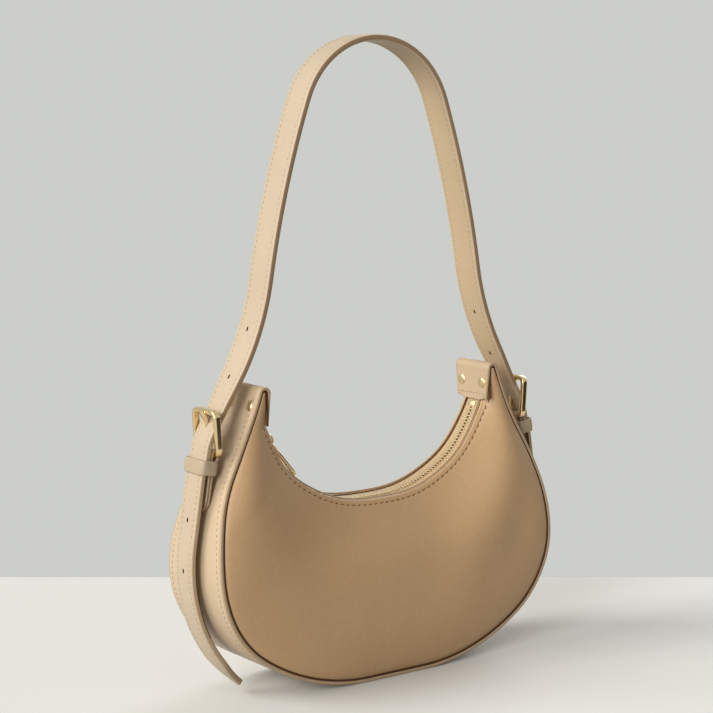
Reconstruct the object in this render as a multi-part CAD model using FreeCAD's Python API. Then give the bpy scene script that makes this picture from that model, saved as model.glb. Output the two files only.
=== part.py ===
import FreeCAD, Part
import math
import os

V = FreeCAD.Vector

# Half moon bag in millimetres: X across, front towards -Y, Z up, origin under the middle of the base

# Crescent outline of the gusset's outer face, right half
half_width = 126.0
flat_half = 21.0
side_radius = 67.0
base_rise = 12.0
upper_radius = 120.0
neck_radius = 300.0
horn_inset = 43.5
horn_rise = 106.0
fold_radius = 4.0
leg_long = 23.0

# Depth of the bag
base_half_depth = 30.5
horn_half_depth = 16.5
taper_start = 55.0
taper_end = 165.0

# Leather, lining and board
gusset_thick = 1.8
welt_thick = 2.0
welt_width = 2.4
panel_thick = 2.0
panel_recess = 0.5
bulge_share = 0.11
lining_thick = 0.8
board_thick = 1.5
board_margin = 2.0
facing_thick = 1.0
facing_drop = 7.0
lay_gap = 0.1

# Mouth and zip
mouth_rise = 57.0
gap_middle = 10.3
gap_end = 6.3
tape_drop = 1.0
tape_thick = 0.6
tape_inner = 1.6
tooth_pitch = 2.9
tooth_long = 1.2
tooth_tall = 2.4
tooth_outer = 3.2
tooth_head = 0.7
stop_long = 3.0
slider_long = 9.0
slider_half = 4.4
plate_thick = 1.0
flange_thick = 0.8
wedge_half = 1.2
wedge_long = 2.4
bail_half = 3.5
bail_wide = 1.8
bail_bar = 1.0
bail_gap = 5.0
pin_radius = 0.7
pin_along = 1.5
puller_long = 28.0
puller_half = 2.7
puller_thick = 1.6
link_long = 8.0
link_half = 2.4
link_bar = 1.0
stop_in = 5.3
slider_in = 14.3
teeth_in = 20.7
end_teeth_in = 9.5
end_stop_in = 6.2

# Horn rivets
rivet_drop = 12.0
rivet_spacing = 19.6
rivet_post = 1.5
rivet_cap = 3.5
rivet_cap_thick = 1.1
rivet_lean = 10.0

# Buckle, chape and keeper, placed from the hinge bar
bar_drop = 38.0
side_lean = 9.0
bar_radius = 1.4
frame_lean = 3.4
frame_tall = 25.0
frame_half = 11.5
frame_bar_half = 1.3
chape_thick = 1.6
chape_half = 8.5
chape_long = 35.0
chape_seat = 0.3
prong_half = 1.1
prong_thick = 1.8
prong_over = 1.0
prong_lift = 24.0
keeper_top = 3.4
keeper_tall = 8.6
keeper_wall = 1.4

# Strap
strap_half = 9.0
strap_thick = 3.6
strap_off = 3.4
crown_radius = 36.0
crown_lean = 30.0
sling_long = 38.0
flare_radius = 160.0
flare_lean = 9.4
rise_radius = 595.0
rise_lean = 19.8
arch_half = 10.8
arch_grow = 22.0
swing_rise = 36.0
tail_straight = 53.0
tail_radius = 97.0
tail_turn = 61.0
tip_long = 22.0
tip_half = 3.2
short_straight = 60.0
hole_long = 3.0
hole_half = 0.8
tail_hole_at = 39.5
hole_pitch = 30.0
spare_back = 3.4

# Clearances and overrun
run_gap = 0.35
fit_gap = 0.05
split_gap = 0.3
over = 20.0

print("sizes read")


def rad(degrees):
    return math.radians(degrees)


def at(centre, radius, angle):
    return V(centre.x + radius * math.cos(angle), 0, centre.z + radius * math.sin(angle))


def arc(centre, radius, first, last):
    middle = (first + last) / 2
    ends = [at(centre, radius, first), at(centre, radius, middle), at(centre, radius, last)]
    return Part.Arc(ends[0], ends[1], ends[2]).toShape()


def line(start, end):
    return Part.LineSegment(start, end).toShape()


def face_of(edges):
    return Part.Face(Part.Wire(Part.__sortEdges__(edges)))


def slab(face, low, high):
    moved = face.copy()
    moved.translate(V(0, low, 0))
    return moved.extrude(V(0, high - low, 0))


def box(x0, x1, y0, y1, z0, z1):
    return Part.makeBox(x1 - x0, y1 - y0, z1 - z0, V(x0, y0, z0))


def flip_x(shape):
    return shape.mirror(V(0, 0, 0), V(1, 0, 0))


def flip_y(shape):
    return shape.mirror(V(0, 0, 0), V(0, 1, 0))


def rod(centre, radius, low, high):
    return Part.makeCylinder(radius, high - low, V(centre.x, low, centre.z), V(0, 1, 0))


def save(name, shape):
    shape.exportStep("parts/" + name + ".step")
    print(name, len(shape.Solids), round(shape.Volume))


os.makedirs("parts", exist_ok=True)

# Tangent arcs of the outline
widest_height = side_radius + base_rise
horn_height = widest_height + horn_rise
leg_face = half_width - horn_inset
leg_foot_height = horn_height - leg_long
base_run = half_width - flat_half - side_radius
base_turn = 2 * math.atan2(base_rise, base_run)
base_radius = side_radius + base_run / math.sin(base_turn)
base_centre = V(flat_half, 0, base_radius)
side_centre = V(half_width - side_radius, 0, widest_height)
upper_centre = V(half_width - upper_radius, 0, widest_height)
fold_centre = V(leg_face + fold_radius, 0, horn_height - fold_radius)
to_fold = fold_centre - upper_centre
reach_a = upper_radius + neck_radius
reach_b = fold_radius + neck_radius
corner = (reach_a ** 2 + to_fold.Length ** 2 - reach_b ** 2) / (2 * reach_a * to_fold.Length)
upper_turn = math.atan2(to_fold.z, to_fold.x) - math.acos(corner)
neck_centre = at(upper_centre, reach_a, upper_turn)
fold_turn = math.atan2(neck_centre.z - fold_centre.z, neck_centre.x - fold_centre.x)
down = -math.pi / 2


def neck_angle(inset, height):
    return math.pi + math.asin((neck_centre.z - height) / (neck_radius + inset))


def low_path(inset):
    edges = [line(V(0, 0, inset), V(flat_half, 0, inset))]
    edges.append(arc(base_centre, base_radius - inset, down, down + base_turn))
    edges.append(arc(side_centre, side_radius - inset, down + base_turn, 0))
    edges.append(arc(upper_centre, upper_radius - inset, 0, upper_turn))
    return edges


def path_to(inset, height):
    edges = low_path(inset)
    last = neck_angle(inset, height)
    edges.append(arc(neck_centre, neck_radius + inset, math.pi + upper_turn, last))
    return edges


def path_to_fold(inset):
    edges = low_path(inset)
    first = math.pi + upper_turn
    edges.append(arc(neck_centre, neck_radius + inset, first, math.pi + fold_turn))
    return edges


def fold_path(inset):
    edges = [arc(fold_centre, fold_radius - inset, fold_turn, math.pi)]
    top = V(leg_face + inset, 0, fold_centre.z)
    edges.append(line(top, V(leg_face + inset, 0, leg_foot_height)))
    return edges


def ends_of(edges):
    return edges[0].Vertexes[0].Point, edges[-1].Vertexes[-1].Point


def band(outer, inner):
    first, last = ends_of(outer)
    inner_first, inner_last = ends_of(inner)
    edges = outer + inner + [line(first, inner_first), line(last, inner_last)]
    half = slab(face_of(edges), -base_half_depth - over, base_half_depth + over)
    return half.fuse(flip_x(half)).removeSplitter()


# Depth law: straight, then two equal arcs drawing in towards the horns
taper_y = (base_half_depth - horn_half_depth) / 2
taper_z = (taper_end - taper_start) / 2
taper_radius = (taper_y ** 2 + taper_z ** 2) / (2 * taper_y)
taper_turn = math.asin(taper_z / taper_radius)


def half_depth(z):
    if z <= taper_start:
        return base_half_depth
    if z >= taper_end:
        return horn_half_depth
    if z <= taper_start + taper_z:
        drop = z - taper_start
        return base_half_depth - taper_radius + math.sqrt(taper_radius ** 2 - drop ** 2)
    rise = taper_end - z
    return horn_half_depth + taper_radius - math.sqrt(taper_radius ** 2 - rise ** 2)


def depth_block(inset):
    def point(y, z):
        return V(0, y, z)

    def bend(y, z, radius, first, last):
        angles = [first, (first + last) / 2, last]
        p = [point(y + radius * math.cos(a), z + radius * math.sin(a)) for a in angles]
        return Part.Arc(p[0], p[1], p[2]).toShape()

    wide = base_half_depth - inset
    slim = horn_half_depth - inset
    bottom = -over
    top = horn_height + over
    first_y = base_half_depth - taper_radius
    second_y = horn_half_depth + taper_radius
    edges = [line(point(0, bottom), point(wide, bottom))]
    edges.append(line(point(wide, bottom), point(wide, taper_start)))
    edges.append(bend(first_y, taper_start, taper_radius - inset, 0, taper_turn))
    edges.append(bend(second_y, taper_end, taper_radius + inset, math.pi + taper_turn, math.pi))
    edges.append(line(point(slim, taper_end), point(slim, top)))
    edges.append(line(point(slim, top), point(0, top)))
    edges.append(line(point(0, top), point(0, bottom)))
    half = face_of(edges)
    half.translate(V(-half_width - over, 0, 0))
    solid = half.extrude(V(2 * half_width + 2 * over, 0, 0))
    return solid.fuse(flip_y(solid)).removeSplitter()


full_depth = depth_block(0)
side_reach = half_width + over
front_side = box(-side_reach, side_reach, -base_half_depth - over, 0, -over, horn_height + over)

# Gusset with folded ends, and the welts along its two seams
seam_ring = band(path_to_fold(0), path_to_fold(welt_thick)).common(full_depth)
welts = seam_ring.cut(depth_block(welt_width))
front_welt = welts.common(front_side)
back_welt = flip_y(front_welt)
whole_band = band(path_to_fold(0) + fold_path(0), path_to_fold(gusset_thick) + fold_path(gusset_thick))
gusset = whole_band.common(full_depth).cut(front_welt).cut(back_welt)
print("gusset made")

# Mouth arc through the foot of the legs
leg_back = leg_face + gusset_thick
mouth_end_x = leg_back + 2 * lay_gap
mouth_radius = (mouth_rise ** 2 + mouth_end_x ** 2) / (2 * mouth_rise)
mouth_centre = V(0, 0, leg_foot_height - mouth_rise + mouth_radius)
mouth_turn = math.asin(mouth_end_x / mouth_radius)
zip_radius = mouth_radius + tape_drop
gap_drop = gap_middle - gap_end
gap_radius = (mouth_end_x ** 2 + gap_drop ** 2) / (2 * gap_drop)


def half_gap(x):
    return math.sqrt(gap_radius ** 2 - x ** 2) - gap_radius + gap_middle


def gap_block(inset):
    reach = mouth_end_x
    ends = V(-reach, half_gap(reach) - inset, 0), V(reach, half_gap(reach) - inset, 0)
    edges = [Part.Arc(ends[0], V(0, gap_middle - inset, 0), ends[1]).toShape()]
    corners = V(-reach, 0, 0), V(reach, 0, 0)
    edges.append(line(ends[0], corners[0]))
    edges.append(line(corners[0], corners[1]))
    edges.append(line(corners[1], ends[1]))
    return face_of(edges).extrude(V(0, 0, horn_height))


# Panels, linings and pocket: one bulged surface between mouth and seam, cut to a share of its reach
station_count = 12
row_count = 7
seam_inset = welt_thick + lay_gap


def sheet(reach_share, top_share, low_share, sink, thick):
    mouth_wire = Part.Wire([arc(mouth_centre, mouth_radius, down, down + mouth_turn)])
    seam_wire = Part.Wire(path_to(seam_inset, leg_foot_height))
    rows = []
    for i in range(1 - station_count, station_count):
        share = abs(i) / (station_count - 1) * reach_share
        m = along(mouth_wire, share)
        s = along(seam_wire, share)
        y_mouth = half_gap(m.x) + panel_thick
        y_seam = half_depth(s.z) - panel_recess
        span = (s - m).Length
        side = -1 if i < 0 else 1
        row = []
        for j in range(row_count):
            v = top_share + (low_share - top_share) * j / (row_count - 1)
            p = m + (s - m) * v
            y = y_mouth + (y_seam - y_mouth) * v + bulge_share * span * 4 * v * (1 - v)
            row.append(V(side * p.x, sink - y, p.z))
        rows.append(row)
    surface = Part.BSplineSurface()
    surface.interpolate(rows)
    return surface.toShape().extrude(V(0, thick, 0))


def along(wire, share):
    left = wire.Length * share
    for edge in wire.Edges:
        if left <= edge.Length + fit_gap:
            return edge.valueAt(edge.getParameterByLength(min(left, edge.Length)))
        left -= edge.Length
    return wire.Edges[-1].valueAt(wire.Edges[-1].LastParameter)


whole_share = 1.0
front_panel = sheet(whole_share, 0, whole_share, 0, panel_thick)
lining_share = 0.9
lining_top_share = 0.07
lining_low_share = 0.985
lining_sink = panel_thick + lay_gap
front_lining = sheet(lining_share, lining_top_share, lining_low_share, lining_sink, lining_thick)
pocket_share = 0.3
pocket_top_share = 0.3
pocket_low_share = 0.8
pocket_sink = lining_sink + lining_thick + lay_gap
pocket = flip_y(sheet(pocket_share, pocket_top_share, pocket_low_share, pocket_sink, lining_thick))
print("panels made")

# Gusset lining and base board inside
lining_in = gusset_thick + lining_thick
lining_depth = depth_block(welt_width + panel_thick)
lining_stop = leg_foot_height - facing_drop
lining_band = band(path_to(gusset_thick, lining_stop), path_to(lining_in, lining_stop))
gusset_lining = lining_band.common(lining_depth)
board_edges = low_path(lining_in)[:2], low_path(lining_in + board_thick)[:2]
board_inset = welt_width + 2 * panel_thick + board_margin
base_board = band(board_edges[0], board_edges[1]).common(depth_block(board_inset))

# Horn fillers and rivets
fill_inset = gusset_thick + lay_gap
fill_foot = leg_foot_height + 2 * lay_gap
fill_first = neck_angle(fill_inset, fill_foot)
fill_edges = [arc(neck_centre, neck_radius + fill_inset, fill_first, math.pi + fold_turn)]
fill_edges.append(arc(fold_centre, fold_radius - fill_inset, fold_turn, math.pi))
fill_side = leg_face + fill_inset
fill_edges.append(line(V(fill_side, 0, fold_centre.z), V(fill_side, 0, fill_foot)))
fill_edges.append(line(V(fill_side, 0, fill_foot), fill_edges[0].Vertexes[0].Point))
fill_half = horn_half_depth - welt_width - lay_gap
filler = slab(face_of(fill_edges), -fill_half, fill_half)

rivet_height = horn_height - rivet_drop
outer_at_rivet = at(neck_centre, neck_radius, neck_angle(0, rivet_height))
rivet_axis = V(math.cos(rad(rivet_lean)), 0, math.sin(rad(rivet_lean)))
rivet_through = (outer_at_rivet.x - leg_face) / math.cos(rad(rivet_lean))
rivet_foot = V(leg_face, 0, rivet_height - rivet_through * math.sin(rad(rivet_lean)) / 2)
rivets = []
for side in (-1, 1):
    foot = rivet_foot + V(0, side * rivet_spacing / 2, 0)
    post = Part.makeCylinder(rivet_post, rivet_through, foot, rivet_axis)
    hole_start = foot - rivet_axis * over
    hole = Part.makeCylinder(rivet_post + fit_gap, rivet_through + 2 * over, hole_start, rivet_axis)
    slack = rivet_cap * math.sin(rad(rivet_lean))
    cap_long = rivet_cap_thick + 2 * slack
    inner_foot = foot - rivet_axis * (rivet_cap_thick + slack)
    inner_cap = Part.makeCylinder(rivet_cap, cap_long, inner_foot, rivet_axis)
    outer_foot = foot + rivet_axis * (rivet_through - slack)
    outer_cap = Part.makeCylinder(rivet_cap, cap_long, outer_foot, rivet_axis)
    caps = inner_cap.fuse(outer_cap).cut(gusset).cut(filler)
    kept = [s for s in caps.Solids if s.Volume > rivet_cap_thick * rivet_cap ** 2]
    rivet = post
    for cap in kept:
        rivet = rivet.fuse(cap)
    rivets.append(rivet.removeSplitter())
    gusset = gusset.cut(hole).cut(flip_x(hole))
    filler = filler.cut(hole)
right_rivets = Part.makeCompound(rivets)
print("horns made")


# Zip parts: turned about the mouth's centre, angles from straight down, right side positive
def ring(y0, y1, r0, r1, first, last):
    p = [V(0, y0, mouth_centre.z - r0), V(0, y1, mouth_centre.z - r0)]
    p += [V(0, y1, mouth_centre.z - r1), V(0, y0, mouth_centre.z - r1)]
    face = Part.Face(Part.makePolygon(p + [p[0]]))
    face.rotate(mouth_centre, V(0, -1, 0), first)
    return face.revolve(mouth_centre, V(0, -1, 0), last - first)


def turn(shape, angle):
    turned = shape.copy()
    turned.rotate(mouth_centre, V(0, -1, 0), angle)
    return turned


def arc_turn(length):
    return math.degrees(length / zip_radius)


zip_level = mouth_centre.z - zip_radius
half_tape = tape_thick / 2
tape_end = math.degrees(math.acos((mouth_centre.z - leg_foot_height + 2 * tape_drop) / zip_radius))
tape = ring(tape_inner, gap_middle, zip_radius - half_tape, zip_radius + half_tape, -tape_end, tape_end)
slider_angle = tape_end - arc_turn(slider_in)
back_tape = tape.common(gap_block(lay_gap))
facing_top = zip_radius + half_tape + lay_gap
facing = ring(0, gap_middle, facing_top, facing_top + facing_drop, -tape_end, tape_end)
back_facing = facing.common(gap_block(lay_gap).cut(gap_block(lay_gap + facing_thick)))


def tooth(length, head):
    half = length / 2
    tall = tooth_tall / 2
    block = box(-half, half, -head, tooth_outer, zip_level - tall, zip_level + tall)
    slot_half = half_tape + fit_gap
    slot_inner = tape_inner - lay_gap
    slot = box(-half - over, half + over, slot_inner, over, zip_level - slot_half, zip_level + slot_half)
    return block.cut(slot)


pitch_turn = arc_turn(tooth_pitch)
teeth_start = tape_end - arc_turn(teeth_in)
teeth_end = tape_end - arc_turn(end_teeth_in)
tooth_count = round((teeth_start + teeth_end) / pitch_turn)
back_teeth = []
front_teeth = []
for i in range(tooth_count):
    angle = i * pitch_turn - teeth_start
    back_teeth.append(turn(tooth(tooth_long, tooth_head), angle))
    front_teeth.append(turn(flip_y(tooth(tooth_long, tooth_head)), angle + pitch_turn / 2))
top_stop = turn(tooth(stop_long, -2 * lay_gap), arc_turn(stop_in) - tape_end)
end_stop = tooth(stop_long, 0)
end_stop = turn(end_stop.fuse(flip_y(end_stop)).removeSplitter(), tape_end - arc_turn(end_stop_in))
print("zip chain made")

# Slider, turned about the mouth's centre so it keeps clear all along, with a bail over the pin
slider_turn = arc_turn(slider_long) / 2
wedge_turn = arc_turn(wedge_long)
clear = tooth_tall / 2 + run_gap
flange_in = half_tape + run_gap
top_r = zip_radius - clear
low_r = zip_radius + clear
slider = ring(-slider_half, slider_half, top_r - plate_thick, top_r, -slider_turn, slider_turn)
low_plate = ring(-slider_half, slider_half, low_r, low_r + plate_thick, -slider_turn, slider_turn)
slider = slider.fuse(low_plate)
for side in (-1, 1):
    y0, y1 = sorted([side * slider_half, side * (slider_half - flange_thick)])
    slider = slider.fuse(ring(y0, y1, top_r, zip_radius - flange_in, -slider_turn, slider_turn))
    slider = slider.fuse(ring(y0, y1, zip_radius + flange_in, low_r, -slider_turn, slider_turn))
slider = slider.fuse(ring(-wedge_half, wedge_half, top_r, low_r, -slider_turn, wedge_turn - slider_turn))
plate_top = zip_level + clear + plate_thick
bail_top = plate_top + bail_gap + bail_bar
bail = box(-bail_half, bail_half, -bail_wide / 2, bail_wide / 2, plate_top - plate_thick / 2, bail_top)
bail_hole = bail_half - bail_bar
bail = bail.cut(box(-bail_hole, bail_hole, -over, over, plate_top, plate_top + bail_gap))
slider = turn(slider.fuse(bail).removeSplitter(), -slider_angle)

# Puller: a link round the bail's post and a slim bar
pin = V(pin_along, 0, plate_top + bail_gap / 2)
half_bar = puller_thick / 2
tip_sag = (pin_along + puller_long) ** 2 / (2 * zip_radius)
tip_rise = tip_sag + tooth_tall / 2 + 2 * run_gap + half_bar - (pin.z - zip_level)
puller_tilt = math.degrees(math.atan2(tip_rise, puller_long))
link_inner = link_half - link_bar
puller = rod(pin, pin_radius, -link_half, link_half)
arms = box(pin.x, pin.x + link_long, -link_half, link_half, pin.z - pin_radius, pin.z + pin_radius)
arms = arms.cut(box(-over, pin.x + link_long - link_bar, -link_inner, link_inner, -over, 2 * horn_height))
stem = box(pin.x + link_long - link_bar, pin.x + puller_long, -puller_half, puller_half,
           pin.z - half_bar, pin.z + half_bar)
corner_edges = []
for edge in stem.Edges:
    way = edge.tangentAt(0)
    if abs(way.z) > abs(way.x) + abs(way.y):
        corner_edges.append(edge)
stem = stem.makeFillet(puller_half / 2, corner_edges)
puller = puller.fuse(arms).fuse(stem).removeSplitter()
puller.rotate(pin, V(0, -1, 0), puller_tilt)
puller = turn(puller, -slider_angle)
print("slider made")

# Right side frame: along runs down the chape, out stands off it
lean = rad(side_lean)
loop_radius = bar_radius + fit_gap + chape_thick
chape_back = loop_radius - 2 * chape_thick
bar_z = horn_height - bar_drop
foot_rise = bar_z - chape_long * math.cos(lean) - widest_height
wall_x = upper_centre.x + math.sqrt(upper_radius ** 2 - foot_rise ** 2)
bar_x = wall_x - chape_seat - chape_long * math.sin(lean) - chape_back * math.cos(lean)
hinge = V(bar_x, 0, bar_z)
along_side = V(math.sin(lean), 0, -math.cos(lean))
out_side = V(math.cos(lean), 0, math.sin(lean))


def side_point(down_by, out_by):
    return hinge + along_side * down_by + out_side * out_by


def side_face(down0, down1, out0, out1):
    p = [side_point(down0, out0), side_point(down0, out1), side_point(down1, out1), side_point(down1, out0)]
    return Part.Face(Part.makePolygon(p + [p[0]]))


# Chape folded round the hinge bar and sewn to the gusset
chape = slab(side_face(0, chape_long, chape_back, loop_radius), -chape_half, chape_half)
tip_round = []
for edge in chape.Edges:
    way = edge.tangentAt(0)
    across_layers = abs(way.dot(out_side)) > abs(way.dot(along_side))
    at_tip = (edge.CenterOfMass - hinge).dot(along_side) > chape_long / 2
    at_corner = abs(edge.CenterOfMass.y) > chape_half / 2
    if across_layers and at_tip and at_corner:
        tip_round.append(edge)
chape = chape.makeFillet(chape_half - fit_gap, tip_round)
chape = chape.fuse(rod(hinge, loop_radius, -chape_half, chape_half))
chape = chape.cut(rod(hinge, bar_radius + fit_gap, -over, over)).cut(gusset)
prong_room = prong_half + run_gap
room = rod(hinge, loop_radius + run_gap, -prong_room, prong_room)
room_high = chape_thick + bar_radius
chape = chape.cut(room.cut(slab(side_face(room_high, over, -over, over), -over, over)))
right_chape = max(chape.removeSplitter().Solids, key=lambda s: s.Volume)

# Buckle frame: hinge bar, two side bars and a top bar
up_frame = V(math.sin(rad(frame_lean)), 0, math.cos(rad(frame_lean)))
frame_top = hinge + up_frame * frame_tall
frame_out = V(up_frame.z, 0, -up_frame.x)
frame_reach = frame_half + frame_bar_half
right_buckle = rod(hinge, bar_radius, -frame_reach, frame_reach)
right_buckle = right_buckle.fuse(rod(frame_top, bar_radius, -frame_reach, frame_reach))
flat = [hinge - frame_out * bar_radius, hinge + frame_out * bar_radius]
flat += [frame_top + frame_out * bar_radius, frame_top - frame_out * bar_radius]
side_bar = Part.Face(Part.makePolygon(flat + [flat[0]]))
for side in (-1, 1):
    middle = side * frame_half
    right_buckle = right_buckle.fuse(slab(side_bar, middle - frame_bar_half, middle + frame_bar_half))
right_buckle = right_buckle.removeSplitter()

# Prong round the hinge bar, lying on the top bar
prong_ring = bar_radius + fit_gap + prong_thick / 2
prong_tip = frame_top + frame_out * prong_ring + up_frame * prong_over
prong_line = prong_tip - hinge
prong_turn = math.degrees(math.atan2(prong_line.x, prong_line.z))
prong_long = prong_line.Length
half_prong = prong_thick / 2
stick_top = hinge.z + prong_long
stick = box(hinge.x - half_prong, hinge.x + half_prong, -prong_half, prong_half, hinge.z, stick_top)
stick.rotate(hinge, V(0, 1, 0), prong_turn)
right_prong = stick.fuse(rod(hinge, prong_ring, -prong_half, prong_half))
right_prong = right_prong.cut(rod(hinge, bar_radius + fit_gap, -over, over))
right_prong = right_prong.cut(rod(frame_top, bar_radius + fit_gap, -over, over)).removeSplitter()

# Keeper round strap and chape
strap_out = strap_off + strap_thick
keeper_low = keeper_top + keeper_tall
keep_in = chape_back - run_gap
keep_out = strap_out + run_gap
keep_half = strap_half + run_gap
ring_half = keep_half + keeper_wall
right_keeper = slab(side_face(keeper_top, keeper_low, keep_in - keeper_wall, keep_out + keeper_wall),
                    -ring_half, ring_half)
right_keeper = right_keeper.cut(slab(side_face(-over, over, keep_in, keep_out), -keep_half, keep_half))
print("side hardware made")


# Strap face line: tangent arcs from the hinge bar up to the crown of the arch
def strap_edges(sink):
    crown = rad(crown_lean)
    flare = rad(flare_lean)
    rise = rad(rise_lean)
    start = side_point(0, strap_out)
    centre = start - out_side * crown_radius
    edges = [arc(centre, crown_radius - sink, lean, crown)]
    outer_end = at(centre, crown_radius, crown)
    crown_out = V(math.cos(crown), 0, math.sin(crown))
    crown_up = V(-math.sin(crown), 0, math.cos(crown))
    outer_next = outer_end + crown_up * sling_long
    edges.append(line(outer_end - crown_out * sink, outer_next - crown_out * sink))
    centre = outer_next + crown_out * flare_radius
    edges.append(arc(centre, flare_radius + sink, math.pi + crown, math.pi + flare))
    outer_next = at(centre, flare_radius, math.pi + flare)
    centre = outer_next - V(math.cos(flare), 0, math.sin(flare)) * rise_radius
    edges.append(arc(centre, rise_radius - sink, flare, rise))
    outer_next = at(centre, rise_radius, rise)
    top_radius = outer_next.x / math.cos(rise)
    centre = V(0, 0, outer_next.z - top_radius * math.sin(rise))
    edges.append(arc(centre, top_radius - sink, rise, math.pi / 2))
    return edges


outer_edges = strap_edges(0)
inner_edges = strap_edges(strap_thick)
ends = [line(outer_edges[0].Vertexes[0].Point, inner_edges[0].Vertexes[0].Point)]
ends.append(line(ends_of(outer_edges)[1], ends_of(inner_edges)[1]))
rising = slab(face_of(outer_edges + inner_edges + ends), -arch_half, arch_half)
apex = rising.BoundBox.ZMax
swing_height = bar_z + swing_rise
wide_height = swing_height + arch_grow
outline = [V(0, -strap_half, 0), V(0, -strap_half, swing_height), V(0, -arch_half, wide_height)]
outline.append(V(0, -arch_half, apex + over))
outline += [V(0, -p.y, p.z) for p in reversed(outline)]
outline = Part.Face(Part.makePolygon(outline + [outline[0]]))
rising = rising.common(outline.extrude(V(side_reach, 0, 0)))
whole = rising.fuse(flip_x(rising)).removeSplitter()

# Arch above the swing line, with rounded ends turning about it
upper_room = box(-side_reach, side_reach, -over, over, swing_height, apex + over)
turn_room = Part.makeCylinder(strap_half, 2 * side_reach, V(-side_reach, 0, swing_height), V(1, 0, 0))
arch = whole.common(upper_room.fuse(turn_room))
lower_room = box(0, half_width + over, -over, over, 0, swing_height - strap_half - split_gap)
stub = rising.common(lower_room)

# Slot for the prong and its lift
slot = Part.makeCylinder(prong_long, 2 * prong_room, hinge - V(0, prong_room, 0), V(0, 1, 0))
slot_first = rad(prong_turn) - math.asin((half_prong + run_gap) / (2 * strap_off))
slot_last = rad(prong_turn + prong_lift) + math.asin((half_prong + run_gap) / (2 * strap_off))
wedge = [hinge]
for share in (0, 0.5, 1.0):
    angle = slot_first + (slot_last - slot_first) * share
    wedge.append(hinge + V(math.sin(angle), 0, math.cos(angle)) * (prong_long + over))
slot = slot.common(slab(Part.Face(Part.makePolygon(wedge + [hinge])), -over, over))


# Strap tails below the hinge bar
def hole_at(point, out):
    side = V(out.z, 0, -out.x)
    reach = hole_long / 2 - hole_half
    shape = None
    for share in (-1, 1):
        start = point + side * (reach * share) - out * over
        tube = Part.makeCylinder(hole_half, 2 * over, start, out)
        shape = tube if shape is None else shape.fuse(tube)
    return shape


def tip_cut(end, out, width, long):
    # end is the tip's middle, out the face normal; the outline narrows to a rounded end
    back = V(-out.z, 0, out.x)
    across = V(0, 1, 0)
    start = end + back * long
    far = end + back * (long + half_width)
    p = [far + across * width, start + across * width, end + back * tip_half + across * tip_half]
    q = [far - across * width, start - across * width, end + back * tip_half - across * tip_half]
    edges = [line(p[0], p[1]), line(p[1], p[2]), Part.Arc(p[2], end, q[2]).toShape()]
    edges += [line(q[2], q[1]), line(q[1], q[0]), line(q[0], p[0])]
    face = face_of(edges)
    face.translate(out * -half_width)
    return face.extrude(out * (2 * half_width))


turn_start = side_point(tail_straight, strap_out)
tail_centre = turn_start - out_side * tail_radius
tail_last = lean - rad(tail_turn)
bend_in = tail_radius - strap_thick
tail_edges = [arc(tail_centre, tail_radius, lean, tail_last), arc(tail_centre, bend_in, lean, tail_last)]
tail_edges.append(line(at(tail_centre, tail_radius, lean), at(tail_centre, bend_in, lean)))
tail_edges.append(line(at(tail_centre, tail_radius, tail_last), at(tail_centre, bend_in, tail_last)))
bend = slab(face_of(tail_edges), -strap_half, strap_half)
tip_out = V(math.cos(tail_last), 0, math.sin(tail_last))
bend = bend.common(tip_cut(at(tail_centre, tail_radius, tail_last), tip_out, strap_half, tip_long))
straight = slab(side_face(0, tail_straight, strap_off, strap_out), -strap_half, strap_half)
long_end = stub.fuse(straight).fuse(bend).removeSplitter().cut(slot)
long_end = long_end.cut(hole_at(side_point(tail_hole_at, strap_out), out_side))
tail_hole_turn = lean - (tail_hole_at + hole_pitch - tail_straight) / tail_radius
tail_hole_out = V(math.cos(tail_hole_turn), 0, math.sin(tail_hole_turn))
long_end = long_end.cut(hole_at(at(tail_centre, tail_radius, tail_hole_turn), tail_hole_out))
short = slab(side_face(0, short_straight, strap_off, strap_out), -strap_half, strap_half)
short = short.common(tip_cut(side_point(short_straight, strap_out), out_side, strap_half, tip_long))
short_end = stub.fuse(short).removeSplitter().cut(slot)
short_end = short_end.cut(hole_at(side_point(tail_hole_at, strap_out), out_side))

# Two spare holes up each side of the arch
spare_up = V(-math.sin(rad(crown_lean)), 0, math.cos(rad(crown_lean)))
spare_out = V(math.cos(rad(crown_lean)), 0, math.sin(rad(crown_lean)))
spare_at = outer_edges[1].Vertexes[1].Point - spare_up * spare_back
spare = hole_at(spare_at, spare_out)
flare_turn = math.pi + rad(crown_lean) - (hole_pitch - spare_back) / flare_radius
flare_centre = outer_edges[1].Vertexes[1].Point + spare_out * flare_radius
high_out = V(-math.cos(flare_turn), 0, -math.sin(flare_turn))
high = hole_at(at(flare_centre, flare_radius, flare_turn), high_out)
arch = arch.cut(spare).cut(high).cut(flip_x(spare)).cut(flip_x(high))
print("strap made")

save("gusset", gusset)
save("front_welt", front_welt)
save("back_welt", back_welt)
save("front_panel", front_panel)
save("back_panel", flip_y(front_panel))
save("front_lining", front_lining)
save("back_lining", flip_y(front_lining))
save("slip_pocket", pocket)
save("gusset_lining", gusset_lining)
save("base_board", base_board)
save("right_horn_filler", filler)
save("left_horn_filler", flip_x(filler))
save("right_rivets", right_rivets)
save("left_rivets", flip_x(right_rivets))
save("back_zip_tape", back_tape)
save("front_zip_tape", flip_y(back_tape))
save("back_facing", back_facing)
save("front_facing", flip_y(back_facing))
save("back_zip_teeth", Part.makeCompound(back_teeth))
save("front_zip_teeth", Part.makeCompound(front_teeth))
save("zip_top_stops", Part.makeCompound([top_stop, flip_y(top_stop)]))
save("zip_end_stop", end_stop)
save("zip_slider", slider)
save("zip_puller", puller)
save("right_chape", right_chape)
save("left_chape", flip_x(right_chape))
save("right_buckle", right_buckle)
save("left_buckle", flip_x(right_buckle))
save("right_prong", right_prong)
save("left_prong", flip_x(right_prong))
save("right_keeper", right_keeper)
save("left_keeper", flip_x(right_keeper))
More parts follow.
